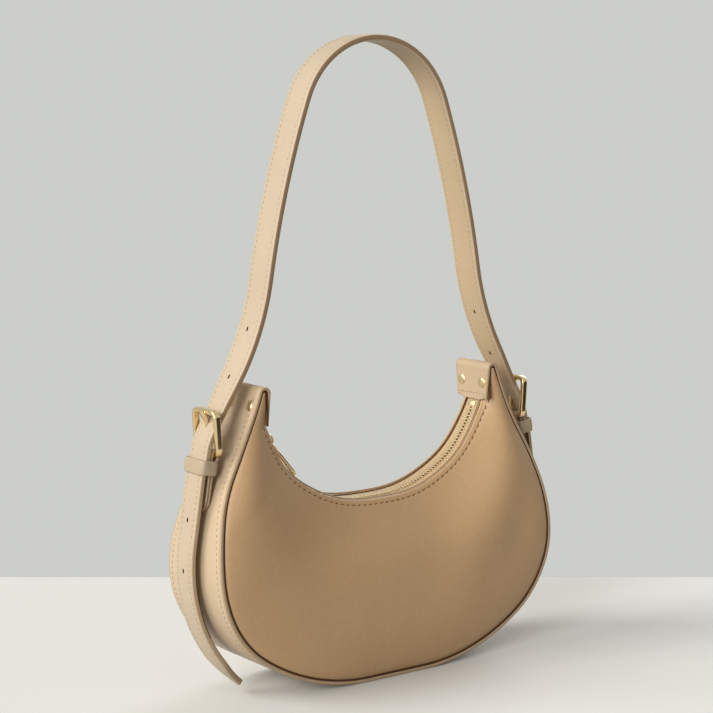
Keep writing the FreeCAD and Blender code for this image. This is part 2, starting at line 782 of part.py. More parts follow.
save("strap", arch)
save("right_strap_end", short_end)
save("left_strap_end", flip_x(long_end))

# Numbers that the joints are placed by
print("mouth centre z", mouth_centre.z, "zip radius", zip_radius, "mouth turn", math.degrees(mouth_turn))
placed_pin = V(pin.x, 0, pin.z)
back_turn = rad(-slider_angle)
arm = placed_pin - mouth_centre
pin_x = arm.x * math.cos(back_turn) - arm.z * math.sin(back_turn)
pin_z = arm.x * math.sin(back_turn) + arm.z * math.cos(back_turn) + mouth_centre.z
print("puller pin", pin_x, pin_z)
print("hinge bar", hinge, "frame top", frame_top, "along side", along_side, "apex", apex)
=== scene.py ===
from math import acos, asin, atan2, copysign, cos, degrees, dist, exp, hypot, pi, radians, sin, sqrt, tan

import bmesh
import bpy
from mathutils import Matrix, Vector, noise


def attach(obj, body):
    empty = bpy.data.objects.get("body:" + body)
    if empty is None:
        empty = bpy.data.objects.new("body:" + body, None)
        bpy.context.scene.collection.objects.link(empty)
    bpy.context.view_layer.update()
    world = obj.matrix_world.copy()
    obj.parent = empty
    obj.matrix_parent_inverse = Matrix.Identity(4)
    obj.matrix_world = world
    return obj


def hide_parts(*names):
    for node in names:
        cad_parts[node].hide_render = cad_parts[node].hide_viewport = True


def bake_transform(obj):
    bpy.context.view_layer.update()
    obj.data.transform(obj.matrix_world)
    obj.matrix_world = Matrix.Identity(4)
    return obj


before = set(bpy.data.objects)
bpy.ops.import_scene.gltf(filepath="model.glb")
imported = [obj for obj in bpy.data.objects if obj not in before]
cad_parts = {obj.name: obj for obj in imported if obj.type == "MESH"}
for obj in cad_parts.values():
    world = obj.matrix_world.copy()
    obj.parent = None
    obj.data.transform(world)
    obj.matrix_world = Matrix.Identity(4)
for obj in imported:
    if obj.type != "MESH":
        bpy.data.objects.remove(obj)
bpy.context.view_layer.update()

mm = 0.001  # shapes are written in millimetres and scaled when a mesh is made
wayX, wayY = Vector((1, 0, 0)), Vector((0, 1, 0))


def clamp(value):
    return max(0.0, min(1.0, value))


def eased(value):
    share = clamp(value)
    return share * share * (3 - 2 * share)


def cornerHalf(r, near, leastSquare):
    return sqrt(max(r ** 2 - (r - near) ** 2, leastSquare))


def arcRadius(rise, half):
    return (rise ** 2 + half ** 2) / (2 * rise)


# the crescent: sizes of the solids, and a gape that only the scene has
form = {
    "halfWidth": 126.0, "flatHalf": 21.0, "sideRadius": 67.0, "baseRise": 12.0,
    "upperRadius": 120.0, "neckRadius": 300.0, "hornInset": 43.5, "hornRise": 106.0,
    "foldRadius": 4.0, "legLong": 23.0, "baseHalfDepth": 30.5, "hornHalfDepth": 16.5,
    "taperStart": 55.0, "taperEnd": 165.0, "mouthRise": 57.0, "gapMiddle": 10.3, "gapEnd": 6.3,
    "gape": 4.2, "gapeFrom": 69.0, "tapeDrop": 1.0, "gussetThick": 1.8, "panelThick": 2.0,
    "seamInset": 2.1, "layGap": 0.1,
}
widest = form["sideRadius"] + form["baseRise"]
hornTop = widest + form["hornRise"]
legFace = form["halfWidth"] - form["hornInset"]
legFoot = hornTop - form["legLong"]
baseRun = form["halfWidth"] - form["flatHalf"] - form["sideRadius"]
baseTurn = 2 * atan2(form["baseRise"], baseRun)
baseRadius = form["sideRadius"] + baseRun / sin(baseTurn)
upperX = form["halfWidth"] - form["upperRadius"]
foldX = legFace + form["foldRadius"]
foldZ = hornTop - form["foldRadius"]
reachA = form["upperRadius"] + form["neckRadius"]
reachB = form["foldRadius"] + form["neckRadius"]
toFold = hypot(foldX - upperX, foldZ - widest)
foldCorner = acos((reachA ** 2 + toFold ** 2 - reachB ** 2) / (2 * reachA * toFold))
upperTurn = atan2(foldZ - widest, foldX - upperX) - foldCorner
neckX = upperX + reachA * cos(upperTurn)
neckZ = widest + reachA * sin(upperTurn)
foldTurn = atan2(neckZ - foldZ, neckX - foldX)
mouthEndX = legFace + form["gussetThick"] + 2 * form["layGap"]
mouthRadius = arcRadius(form["mouthRise"], mouthEndX)
mouthZ = legFoot - form["mouthRise"] + mouthRadius
mouthTurn = asin(mouthEndX / mouthRadius)
zipRadius = mouthRadius + form["tapeDrop"]
down = -pi / 2


def halfDepth(z):
    deep, slim = form["baseHalfDepth"], form["hornHalfDepth"]
    first, last = form["taperStart"], form["taperEnd"]
    half = (last - first) / 2
    bend = arcRadius((deep - slim) / 2, half)
    z = max(first, min(last, z))
    if z <= first + half:
        return deep - bend + sqrt(bend ** 2 - (z - first) ** 2)
    return slim + bend - sqrt(bend ** 2 - (last - z) ** 2)


def halfGap(x):
    bend = arcRadius(form["gapMiddle"] - form["gapEnd"], mouthEndX)
    slackShare = eased((-x - form["gapeFrom"]) / (mouthEndX - form["gapeFrom"]))  # wider where the zip starts
    arc = sqrt(bend ** 2 - min(abs(x), mouthEndX) ** 2) - bend
    return arc + form["gapMiddle"] + form["gape"] * slackShare


def neckAt(z, inset=0.0):
    return neckX - sqrt((form["neckRadius"] + inset) ** 2 - (neckZ - z) ** 2)


# lines in the (x, z) plane

def runArc(cx, cz, r, first, last, step=1.0):
    count = max(4, int(abs(last - first) * r / step) + 1)
    angles = [first + (last - first) * i / count for i in range(count + 1)]
    return [(cx + r * cos(a), cz + r * sin(a)) for a in angles]


def arcFrom(start, r, first, last):
    return runArc(start[0] - r * cos(first), start[1] - r * sin(first), r, first, last)


def joinRuns(*runs):
    points = []
    for run in runs:
        for p in run:
            if not points or dist(p, points[-1]) > 1e-4:
                points.append(tuple(p))
    return points


def lineLength(points):
    return sum(dist(a, b) for a, b in zip(points[:-1], points[1:]))


def nearEnds(points):
    run = [0.0]
    for a, b in zip(points[:-1], points[1:]):
        run.append(run[-1] + dist(a, b))
    return [min(d, run[-1] - d) for d in run]


def atLengths(points, lengths):
    out, i, done = [], 0, 0.0
    for want in lengths:
        while i < len(points) - 2 and done + dist(points[i], points[i + 1]) < want:
            done += dist(points[i], points[i + 1])
            i += 1
        t = (want - done) / dist(points[i], points[i + 1])
        out.append(tuple(a + (b - a) * t for a, b in zip(points[i], points[i + 1])))
    return out


def evenly(points, gap):
    total = lineLength(points)
    count = max(2, round(total / gap))
    return atLengths(points, [total * i / count for i in range(count + 1)])


def softened(points, times=2, closed=False):
    for _ in range(times):
        cut = [] if closed else [points[0]]
        for a, b in zip(points, points[1:] + points[:1] if closed else points[1:]):
            cut.append(tuple(p * 0.75 + q * 0.25 for p, q in zip(a, b)))
            cut.append(tuple(p * 0.25 + q * 0.75 for p, q in zip(a, b)))
        points = cut if closed else cut + [points[-1]]
    return points


def bodyLine(inset, top=None):
    last = foldTurn if top is None else asin((neckZ - top) / (form["neckRadius"] + inset))
    sideX = form["halfWidth"] - form["sideRadius"]
    return joinRuns(
        [(0, inset), (form["flatHalf"], inset)],
        runArc(form["flatHalf"], baseRadius, baseRadius - inset, down, down + baseTurn),
        runArc(sideX, widest, form["sideRadius"] - inset, down + baseTurn, 0),
        runArc(upperX, widest, form["upperRadius"] - inset, 0, upperTurn),
        runArc(neckX, neckZ, form["neckRadius"] + inset, pi + upperTurn, pi + last))


def bothSides(right):
    return [(-x, z) for x, z in reversed(right)] + right[1:]


def flatNormals(points, turn):
    out = []
    for i in range(len(points)):
        a, b = points[max(i - 1, 0)], points[min(i + 1, len(points) - 1)]
        size = dist(a, b)
        out.append((turn * (b[1] - a[1]) / size, 0.0, turn * (a[0] - b[0]) / size))
    return out


def planeNormals(points, up, closed=False):
    out, count = [], len(points)
    for i in range(count):
        a = points[i - 1] if (i or closed) else points[0]
        b = points[(i + 1) % count] if (i < count - 1 or closed) else points[-1]
        out.append((b - a).cross(up).normalized())
    return out


def inSpace(points):
    return [(x, 0.0, z) for x, z in points]


def roundedBox(lowA, highA, lowB, highB, r):
    middles = ((highA - r, highB - r), (lowA + r, highB - r), (lowA + r, lowB + r), (highA - r, lowB + r))
    ring = []
    for i, (a, b) in enumerate(middles):
        turns = [radians(90 * i + 15 * j) for j in range(7)]
        ring += [(a + r * cos(t), b + r * sin(t)) for t in turns]
    return evenly(ring + ring[:1], 1.0)[:-1]


def roundedShape(half):
    return softened([(a, -b) for a, b in half] + list(reversed(half)), 2, True)


# meshes

def placed(name, data):
    thing = bpy.data.objects.new(name, data)
    bpy.context.scene.collection.objects.link(thing)
    return thing


def newPiece(name, bm, materials, sharp=50.0):
    bmesh.ops.remove_doubles(bm, verts=bm.verts, dist=2e-6)
    bmesh.ops.recalc_face_normals(bm, faces=bm.faces)
    mesh = bpy.data.meshes.new(name)
    for face in bm.faces:
        face.smooth = True
    bm.to_mesh(mesh)
    bm.free()
    mesh.set_sharp_from_angle(angle=radians(sharp))
    for material in materials:
        mesh.materials.append(material)
    return placed(name, mesh)


def addLoops(bm, loops, marks=None, closedAlong=False, capMark=0):
    rows = [[bm.verts.new(Vector(p) * mm) for p in loop] for loop in loops]
    count = len(rows[0])
    for i in range(len(rows) if closedAlong else len(rows) - 1):
        a, b = rows[i], rows[(i + 1) % len(rows)]
        for j in range(count):
            n = (j + 1) % count
            face = bm.faces.new((a[j], a[n], b[n], b[j]))
            face.material_index = marks[j] if marks else 0
    if not closedAlong:
        for row in (rows[0], rows[-1]):
            bm.faces.new(row).material_index = capMark


def lofted(name, loops, materials, marks=None, closed=False, capMark=0):
    bm = bmesh.new()
    addLoops(bm, loops, marks, closed, capMark)
    return newPiece(name, bm, materials)


def stripSection(thick, edge, crown, across, groove):
    shares = [2 * i / across - 1 for i in range(across + 1)]
    at, wide, deep = groove
    if deep:
        shares = sorted(shares + [s * (at + w) for s in (-1, 1) for w in (-wide, 0.0, wide)])
    turn = [(edge * sin(a), edge * (1 - cos(a))) for a in (0.5, 1.0, pi / 2)]
    section = []  # width share, reach past it, depth under the face
    for s in shares:
        dip = deep if abs(abs(s) - at) < 1e-6 else 0.0
        section.append((s, 0.0, dip - crown * (1 - s * s)))
    section += [(1, out, low) for out, low in turn]
    section += [(1, out, thick - low) for out, low in reversed(turn)]
    section += [(-s, 0.0, thick) for s in shares]
    section += [(-1, -out, thick - low) for out, low in turn]
    section += [(-1, -out, low) for out, low in reversed(turn)]
    return section


def sweepStrip(name, line, normals, widthWay, halves, thick, edge, materials, crown=0.0, across=6,
               closed=False, paint=(0.14, 0.86), groove=(0.0, 0.0, 0.0), shadowLevel=0.75):
    section = stripSection(thick, edge, crown, across, groove)
    marks = []
    for a, b in zip(section, section[1:] + section[:1]):
        level = (a[2] + b[2]) / 2 / thick
        onFlank = abs(a[0]) == 1 and a[0] == b[0]
        mark = 1 if onFlank and paint[0] < level < paint[1] else 0
        # a fourth finish, when given, paints a dark shadow line on the lower part of the flank
        marks.append(3 if len(materials) > 3 and onFlank and level > shadowLevel else mark)
    loops = []
    for p, n, half in zip(line, normals, halves):
        p, n = Vector(p), Vector(n)
        inner, ease = max(half - edge, 0.0), min(1.0, half / edge)
        loops.append([p + widthWay * (s * inner + e * ease) - n * d for s, e, d in section])
    return lofted(name, loops, materials, marks, closed, len(materials) - 1)


def squared(value, power):
    return copysign(abs(value) ** power, value)


def sweepTube(name, points, radii, material, sides=12, closed=False, flat=1.0, up=wayY, square=1.0):
    points = [Vector(p) for p in points]
    count = len(points)
    ring = [2 * pi * s / sides for s in range(sides)]
    loops = []
    for i, p in enumerate(points):
        before = points[i - 1] if (i or closed) else p
        after = points[(i + 1) % count] if (i < count - 1 or closed) else p
        along = (after - before).normalized()
        first = (up - along * along.dot(up)).normalized()
        second = along.cross(first)
        r = radii[i] if isinstance(radii, list) else radii
        section = [(r * squared(cos(a), square), r * flat * squared(sin(a), square)) for a in ring]
        loops.append([p + first * a + second * b for a, b in section])
    return lofted(name, loops, [material], closed=closed)


def insetOutline(outline, inset):
    turn = sum(a[0] * b[1] - b[0] * a[1] for a, b in zip(outline, outline[1:] + outline[:1]))
    by = copysign(inset, turn)
    out = []
    for i, p in enumerate(outline):
        a, b = outline[i - 1], outline[(i + 1) % len(outline)]
        size = dist(a, b)
        out.append((p[0] - by * (b[1] - a[1]) / size, p[1] + by * (b[0] - a[0]) / size))
    return out


def addPlate(bm, outline, low, high, bevel, place):
    knee = bevel * 0.3
    levels = [(low, bevel), (low + knee, knee), (low + bevel, 0.0),
              (high - bevel, 0.0), (high - knee, knee), (high, bevel)]
    addLoops(bm, [[place(a, b, h) for a, b in insetOutline(outline, inset)] for h, inset in levels])


def addBar(bm, halves, thick, bevel, place):
    loops = []
    for a, half in halves:
        w, t = half - bevel, thick - bevel
        right = [(w, thick), (half, t), (half, -t), (w, -thick)]
        ring = right + [(-b, h) for b, h in reversed(right)]
        loops.append([place(a, b, h) for b, h in ring])
    addLoops(bm, loops)


def stitchRow(name, places, material, long=2.6, wide=0.4, tall=0.34, slant=6.0):
    rings = [(-1.0, 0.0), (-0.84, 0.62), (-0.45, 1.0), (0.45, 1.0), (0.84, 0.62), (1.0, 0.0)]
    sides = [i * pi / 3 for i in range(6)]
    bm = bmesh.new()
    for p, along, out in places:
        p, out = Vector(p), Vector(out).normalized()
        along = Matrix.Rotation(radians(slant), 3, out) @ Vector(along).normalized()
        across = out.cross(along)
        rows = []
        for t, r in rings:
            middle = p + along * (t * long / 2)
            if r == 0.0:
                rows.append([bm.verts.new(middle * mm)])
                continue
            ring = [middle + across * (wide * r * cos(a)) + out * (tall * r * sin(a)) for a in sides]
            rows.append([bm.verts.new(q * mm) for q in ring])
        for a, b in zip(rows[:-1], rows[1:]):
            for i in range(6):
                n = (i + 1) % 6
                corners = [a[i % len(a)], a[n % len(a)], b[n % len(b)], b[i % len(b)]]
                bm.faces.new(list(dict.fromkeys(corners)))
    return newPiece(name, bm, [material])


def spin(bm, profile, place, axis, sides=28):
    axis = Vector(axis).normalized()
    first = axis.orthogonal().normalized()
    second = axis.cross(first)
    ring = [2 * pi * s / sides for s in range(sides)]
    addLoops(bm, [[Vector(place) + axis * h + first * (r * cos(a)) + second * (r * sin(a)) for a in ring]
                  for r, h in profile])


def joined(name, parts):
    bm = bmesh.new()
    materials = []
    for part in parts:
        start = len(bm.faces)
        bm.from_mesh(part.data)
        bm.faces.ensure_lookup_table()
        for face in bm.faces[start:]:
            material = part.data.materials[face.material_index]
            if material not in materials:
                materials.append(material)
            face.material_index = materials.index(material)
    for part in parts:
        bpy.data.objects.remove(part, do_unlink=True)
    return newPiece(name, bm, materials)


def mirrored(piece, name, way):
    mesh = piece.data.copy()
    mesh.transform(Matrix.Scale(-1, 4, way))
    mesh.flip_normals()
    mesh.name = name
    return placed(name, mesh)


def cutBy(piece, cutters, sharp=35.0):
    for cutter in cutters:
        step = piece.modifiers.new("cut", "BOOLEAN")
        step.operation = "DIFFERENCE"
        step.solver = "EXACT"
        step.material_mode = "TRANSFER"
        step.object = cutter
    view = bpy.context.evaluated_depsgraph_get()
    mesh = bpy.data.meshes.new_from_object(piece.evaluated_get(view))
    piece.modifiers.clear()
    piece.data = mesh
    mesh.set_sharp_from_angle(angle=radians(sharp))
    for cutter in cutters:
        bpy.data.objects.remove(cutter, do_unlink=True)


def settle(piece, slot, *nodes, body="bag"):
    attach(piece, body)
    if nodes:
        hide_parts(*nodes)


def settlePair(piece, slot, *nodes, body="bag"):
    fore = piece.name.startswith("front")
    here, there, way = ("front", "back", wayY) if fore else ("right", "left", wayX)
    twin = mirrored(piece, piece.name.replace(here, there), way)
    twinNodes = [node.replace(here, there) for node in nodes]
    settle(piece, slot, *nodes, body=body)
    settle(twin, slot, *twinNodes, body=body.replace(here, there))


print("helpers ready")


# finishes: scale and detail of each noise, then what the effects take from it
texture = {
    "fine": (420.0, 6.0), "broad": (14.0, 4.0), "smear": (210.0, 5.0), "hair": (1.0, 3.0),
    "fuzz": (300.0, 2.0), "hairStretch": (1400.0, 1400.0, 110.0), "noiseRange": (0.3, 0.7),
    "pebbleSmooth": 0.6, "pebbleHigh": 0.75, "fineHigh": 0.5, "broadTone": 0.6, "fineTone": 0.4,
    "smearTone": 0.5, "smearRough": 0.12, "threadBend": 0.6, "gapTone": 0.6, "fuzzTone": 0.3,
    "fuzzRough": 0.2, "clothRough": 0.7, "bumpDeep": 0.0002,
}


def give(tree, socket, value):
    if isinstance(value, bpy.types.NodeSocket):
        tree.links.new(value, socket)
    else:
        socket.default_value = value


def addNode(tree, kind, values):
    node = tree.nodes.new("ShaderNode" + kind)
    for title, value in values.items():
        give(tree, node.inputs[title], value)
    return node


def mathNode(tree, kind, *values):
    node = addNode(tree, "Math", dict(enumerate(values)))
    node.operation = kind
    return node.outputs[0]


def mixColour(tree, share, a, b):
    node = tree.nodes.new("ShaderNodeMix")
    node.data_type = "RGBA"
    for title, value in (("Factor", share), ("A", a), ("B", b)):
        give(tree, node.inputs[title], value)
    return node.outputs["Result"]


def noiseNode(tree, vector, name):
    scale, detail = texture[name]
    return addNode(tree, "TexNoise", {"Vector": vector, "Scale": scale, "Detail": detail}).outputs["Fac"]


def spreadOut(tree, value):
    low, high = texture["noiseRange"]
    return addNode(tree, "MapRange", {"Value": value, "From Min": low, "From Max": high}).outputs["Result"]


def newGroup(name, values, colours):
    group = bpy.data.node_groups.new(name, "ShaderNodeTree")
    for way, kind, titles in (("INPUT", "Float", values), ("INPUT", "Color", colours),
                              ("OUTPUT", "Float", ("Roughness", "Height")), ("OUTPUT", "Color", ("Colour",))):
        for title in titles:
            group.interface.new_socket(title, in_out=way, socket_type="NodeSocket" + kind)
    where = group.nodes.new("ShaderNodeTexCoord").outputs["Object"]
    return group, where, group.nodes.new("NodeGroupInput").outputs


def closeGroup(group, colour, roughness, height):
    out = group.nodes.new("NodeGroupOutput").inputs
    for title, value in (("Colour", colour), ("Roughness", roughness), ("Height", height)):
        group.links.new(value, out[title])
    return group


def makeGrain():
    values = ("Pebble Scale", "Rough Low", "Rough High")
    group, where, given = newGroup("leatherGrain", values, ("Colour", "Deep"))
    cells = addNode(group, "TexVoronoi", {"Vector": where, "Scale": given["Pebble Scale"]})
    cells.feature = "SMOOTH_F1"
    cells.inputs["Smoothness"].default_value = texture["pebbleSmooth"]
    fine, broad = noiseNode(group, where, "fine"), noiseNode(group, where, "broad")
    pebble = mathNode(group, "MULTIPLY", cells.outputs["Distance"], texture["pebbleHigh"])
    cloud = mathNode(group, "MULTIPLY", spreadOut(group, broad), texture["broadTone"])
    tone = mathNode(group, "MULTIPLY_ADD", spreadOut(group, fine), texture["fineTone"], cloud)
    spread = mathNode(group, "SUBTRACT", given["Rough High"], given["Rough Low"])
    return closeGroup(group, mixColour(group, tone, given["Colour"], given["Deep"]),
                      mathNode(group, "MULTIPLY_ADD", spread, fine, given["Rough Low"]),
                      mathNode(group, "MULTIPLY_ADD", fine, texture["fineHigh"], pebble))


def makeScuff():
    group, where, given = newGroup("metalScuff", ("Polish",), ("Colour", "Dull"))
    smear = noiseNode(group, where, "smear")
    squeeze = addNode(group, "Mapping", {"Vector": where, "Scale": texture["hairStretch"]})
    tone = mathNode(group, "MULTIPLY", smear, texture["smearTone"])
    return closeGroup(group, mixColour(group, tone, given["Colour"], given["Dull"]),
                      mathNode(group, "MULTIPLY_ADD", smear, texture["smearRough"], given["Polish"]),
                      noiseNode(group, squeeze.outputs["Vector"], "hair"))


def makeWeave():
    group, where, given = newGroup("clothWeave", ("Threads",), ("Colour", "Shade"))
    waves = []
    for way in ("X", "Y", "Z"):
        wave = addNode(group, "TexWave", {
            "Vector": where, "Scale": given["Threads"], "Distortion": texture["threadBend"]})
        wave.bands_direction = way
        waves.append(wave.outputs["Fac"])
    height = mathNode(group, "MAXIMUM", mathNode(group, "MULTIPLY", waves[0], waves[2]), waves[1])
    fuzz = noiseNode(group, where, "fuzz")
    soft = mathNode(group, "MULTIPLY", fuzz, texture["fuzzTone"])
    low = mathNode(group, "SUBTRACT", 1.0, height)
    tone = mathNode(group, "MULTIPLY_ADD", low, texture["gapTone"], soft)
    rough = mathNode(group, "MULTIPLY_ADD", fuzz, texture["fuzzRough"], texture["clothRough"])
    return closeGroup(group, mixColour(group, tone, given["Colour"], given["Shade"]), rough, height)


grain, scuff, weave = makeGrain(), makeScuff(), makeWeave()


def newMaterial(name, values):
    material = bpy.data.materials.new(name)
    material.use_nodes = True
    shader = material.node_tree.nodes["Principled BSDF"]
    for title, value in values.items():
        shader.inputs[title].default_value = value
    return material, material.node_tree, shader.inputs


def finishOf(name, group, values, bump, metallic=0.0, sheen=0.0, specular=0.5):
    material, tree, shader = newMaterial(name, {
        "Metallic": metallic, "Sheen Weight": sheen, "Specular IOR Level": specular})
    effect = tree.nodes.new("ShaderNodeGroup")
    effect.node_tree = group
    for title, value in values.items():
        effect.inputs[title].default_value = (*value, 1) if isinstance(value, tuple) else value
    given = effect.outputs
    relief = addNode(tree, "Bump", {
        "Strength": bump, "Distance": texture["bumpDeep"], "Height": given["Height"]})
    tree.links.new(given["Colour"], shader["Base Color"])
    tree.links.new(given["Roughness"], shader["Roughness"])
    tree.links.new(relief.outputs["Normal"], shader["Normal"])
    return material


def leather(name, colour, deep, pebble=1000.0, bump=0.12, low=0.38, high=0.52, gloss=0.4):
    return finishOf(name, grain, {"Pebble Scale": pebble, "Colour": colour, "Deep": deep,
                                  "Rough Low": low, "Rough High": high}, bump, specular=gloss)


def metal(name, colour, dull, polish, bump):
    return finishOf(name, scuff, {"Colour": colour, "Dull": dull, "Polish": polish}, bump, metallic=1.0)


def cloth(name, colour, shade, threads):
    values = {"Threads": threads, "Colour": colour, "Shade": shade}
    return finishOf(name, weave, values, bump=0.5, sheen=0.2, specular=0.2)


# pebble scale, bump, lowest and highest roughness
strapGrain = (1200.0, 0.14)
edgeGrain = (1600.0, 0.2)
paintGrain = (900.0, 0.1, 0.42, 0.58)
threadGrain = (2600.0, 0.5, 0.5, 0.7)
panelLeather = leather("panelLeather", (0.572, 0.372, 0.198), (0.497, 0.313, 0.158))
gussetLeather = leather("gussetLeather", (0.61, 0.475, 0.32), (0.545, 0.415, 0.27))
# the folded legs: gusset leather darkened to paint the shade on them
legLeather = leather("legLeather", (0.525, 0.4, 0.265), (0.468, 0.35, 0.222))
weltLeather = leather("weltLeather", (0.50, 0.355, 0.215), (0.43, 0.295, 0.172))
strapLeather = leather("strapLeather", (0.552, 0.447, 0.316), (0.495, 0.392, 0.269), *strapGrain)
# the arch's inner face: strap leather darkened to paint the shade there
strapBack = leather("strapBack", (0.53, 0.402, 0.247), (0.475, 0.352, 0.21), *strapGrain)
# the keepers: strap leather darkened to paint the shade on them
keeperLeather = leather("keeperLeather", (0.478, 0.378, 0.257), (0.43, 0.332, 0.22), *strapGrain)
tailEdge = leather("tailEdge", (0.47, 0.345, 0.215), (0.39, 0.28, 0.165), *edgeGrain, 0.35, 0.5)
strapEdge = leather("strapEdge", (0.37, 0.236, 0.132), (0.285, 0.178, 0.095), *edgeGrain, 0.32, 0.5)
edgePaint = leather("edgePaint", (0.098, 0.042, 0.016), (0.06, 0.024, 0.009), *paintGrain, gloss=0.15)
threadTan = leather("threadTan", (0.395, 0.29, 0.18), (0.315, 0.226, 0.134), *threadGrain)
threadBrown = leather("threadBrown", (0.34, 0.24, 0.142), (0.27, 0.186, 0.106), *threadGrain)
threadDark = leather("threadDark", (0.24, 0.132, 0.064), (0.165, 0.086, 0.041), *threadGrain, gloss=0.2)
goldMetal = metal("goldMetal", (0.86, 0.66, 0.385), (0.72, 0.5, 0.255), 0.06, 0.03)
rivetGold = metal("rivetGold", (0.75, 0.595, 0.345), (0.6, 0.44, 0.22), 0.27, 0.03)
chainBrass = metal("chainBrass", (0.82, 0.675, 0.445), (0.64, 0.475, 0.255), 0.27, 0.06)
stopBrass = metal("stopBrass", (0.72, 0.58, 0.37), (0.55, 0.4, 0.21), 0.5, 0.06)
tapeCloth = cloth("tapeCloth", (0.60, 0.435, 0.245), (0.44, 0.30, 0.155), 520.0)
liningCloth = cloth("liningCloth", (0.22, 0.145, 0.085), (0.12, 0.075, 0.042), 420.0)
print("finishes ready")

# gusset: one strip round the crescent, folded over at both horns
gusset = {
    "step": 2.2, "foldStep": 0.4, "legRows": 24, "edge": 0.7, "across": 8, "paint": (0.76, 1.0),
    "beadRoom": 0.9, "legPast": 1.2, "legDraw": 2.4, "footCorner": 4.4,
    "footRows": (4.1, 3.3, 2.5, 1.7, 1.0, 0.4, 0.0), "leastSquare": 0.04,
    "stitchIn": 4.4, "stitchTop": 4, "pitch": 3.4, "stitchSize": (1.8, 0.34, 0.2),
    "legStitches": 4, "legPitch": 2.7, "legStitchUp": 2.6,
}
legEnd = legFoot - gusset["legPast"]


def legDraw(x, z):
    if abs(x) > legFace + form["gussetThick"] or z < legFoot - form["foldRadius"]:
        return 0.0
    return gusset["legDraw"] * clamp((foldZ - z) / (foldZ - legFoot))  # the leg narrows towards its foot


def gussetHalf(x, z, near):
    half, corner = halfDepth(z) - gusset["beadRoom"] - legDraw(x, z), gusset["footCorner"]
    return half - corner + cornerHalf(corner, near, gusset["leastSquare"]) if near < corner else half


def roundHorn(inset, foot):
    fold = runArc(foldX, foldZ, form["foldRadius"] - inset, foldTurn, pi, gusset["foldStep"])
    rows = gusset["legRows"]
    return joinRuns(fold, [(legFace + inset, foldZ - (foldZ - foot) * i / rows) for i in range(rows + 1)])


def makeGusset():
    foot = [(legFace, legEnd + d) for d in gusset["footRows"]]
    horn = roundHorn(0, legEnd + gusset["footCorner"])
    line = bothSides(joinRuns(evenly(bodyLine(0), gusset["step"]), horn, foot))
    halves = [gussetHalf(x, z, near) for (x, z), near in zip(line, nearEnds(line))]
    piece = sweepStrip("gussetStrip", inSpace(line), flatNormals(line, 1), wayY, halves,
                       form["gussetThick"], gusset["edge"], [gussetLeather, edgePaint],
                       across=gusset["across"], paint=gusset["paint"])
    piece.data.materials.append(legLeather)
    for face in piece.data.polygons:
        if abs(face.center.x) / mm < foldX and face.center.z / mm > legEnd:
            face.material_index = 2  # the folded legs take a darker copy of the gusset leather, painted shade
    settle(piece, "body_leather", "gusset")
    line = bothSides(evenly(bodyLine(0, hornTop - gusset["stitchTop"]), gusset["pitch"]))
    normals = flatNormals(line, 1)
    for end, name in ((-1, "frontGussetStitches"), (1, "backGussetStitches")):
        places = []
        for a, (x, z), b, normal in zip(line, line[1:], line[2:], normals[1:]):
            spot = (x, end * (halfDepth(z) - gusset["stitchIn"]), z)
            places.append((spot, (b[0] - a[0], 0, b[1] - a[1]), normal))
        settle(stitchRow(name, places, threadBrown, *gusset["stitchSize"]), "body_leather")
    for end, name in ((1, "rightLegStitches"), (-1, "leftLegStitches")):
        places = []
        for i in range(-gusset["legStitches"], gusset["legStitches"] + 1):
            spot = (end * legFace, i * gusset["legPitch"], legFoot + gusset["legStitchUp"])
            places.append((spot, wayY, (-end, 0, 0)))
        settle(stitchRow(name, places, threadBrown, *gusset["stitchSize"]), "body_leather")


makeGusset()
print("gusset made")

# welts: a round leather bead along each seam, with a dark painted line beside the panel
welt = {
    "step": 2.2, "fade": 16, "footUp": 0.8, "faceGap": 0.05, "square": 0.75,
    "bead": 1.25, "hornBead": 0.95, "in": 1.3, "hornIn": 1.0,
    "line": 0.9, "hornLine": 0.55, "lineIn": 2.75, "hornLineIn": 2.1, "lineSink": 1.05,
}


def seamRun(inset, hornInset, radius, hornRadius):
    body = evenly(bodyLine(inset), welt["step"])
    horn = roundHorn(hornInset, legEnd + welt["footUp"])
    fade = [clamp((hornTop - z) / welt["fade"]) for x, z in body]
    low = evenly(bodyLine(hornInset), lineLength(bodyLine(hornInset)) / (len(body) - 1))
    body = [tuple(b + (a - b) * f for a, b in zip(p, q)) for p, q, f in zip(body, low, fade)]
    right = joinRuns(body, horn)
    sizes = [hornRadius + (radius - hornRadius) * f for f in fade] + [hornRadius] * len(horn)
    sizes = sizes[:len(right)]
    return bothSides(right), sizes[:0:-1] + sizes


def makeWelts():
    for end, name in ((-1, "front"), (1, "back")):
        bead, radii = seamRun(welt["in"], welt["hornIn"], welt["bead"], welt["hornBead"])
        points = [(x, end * (halfDepth(z) - r - welt["faceGap"] - legDraw(x, z)), z)
                  for (x, z), r in zip(bead, radii)]
        piece = sweepTube(name + "WeltBead", points, radii, weltLeather, sides=16, square=welt["square"])
        settle(piece, "body_leather", name + "_welt")
        seam, radii = seamRun(welt["lineIn"], welt["hornLineIn"], welt["line"], welt["hornLine"])
        points = [(x, end * (halfDepth(z) - welt["lineSink"] - legDraw(x, z)), z) for x, z in seam]
        settle(sweepTube(name + "SeamPaint", points, radii, edgePaint, sides=10), "body_leather")


makeWelts()
print("welts made")

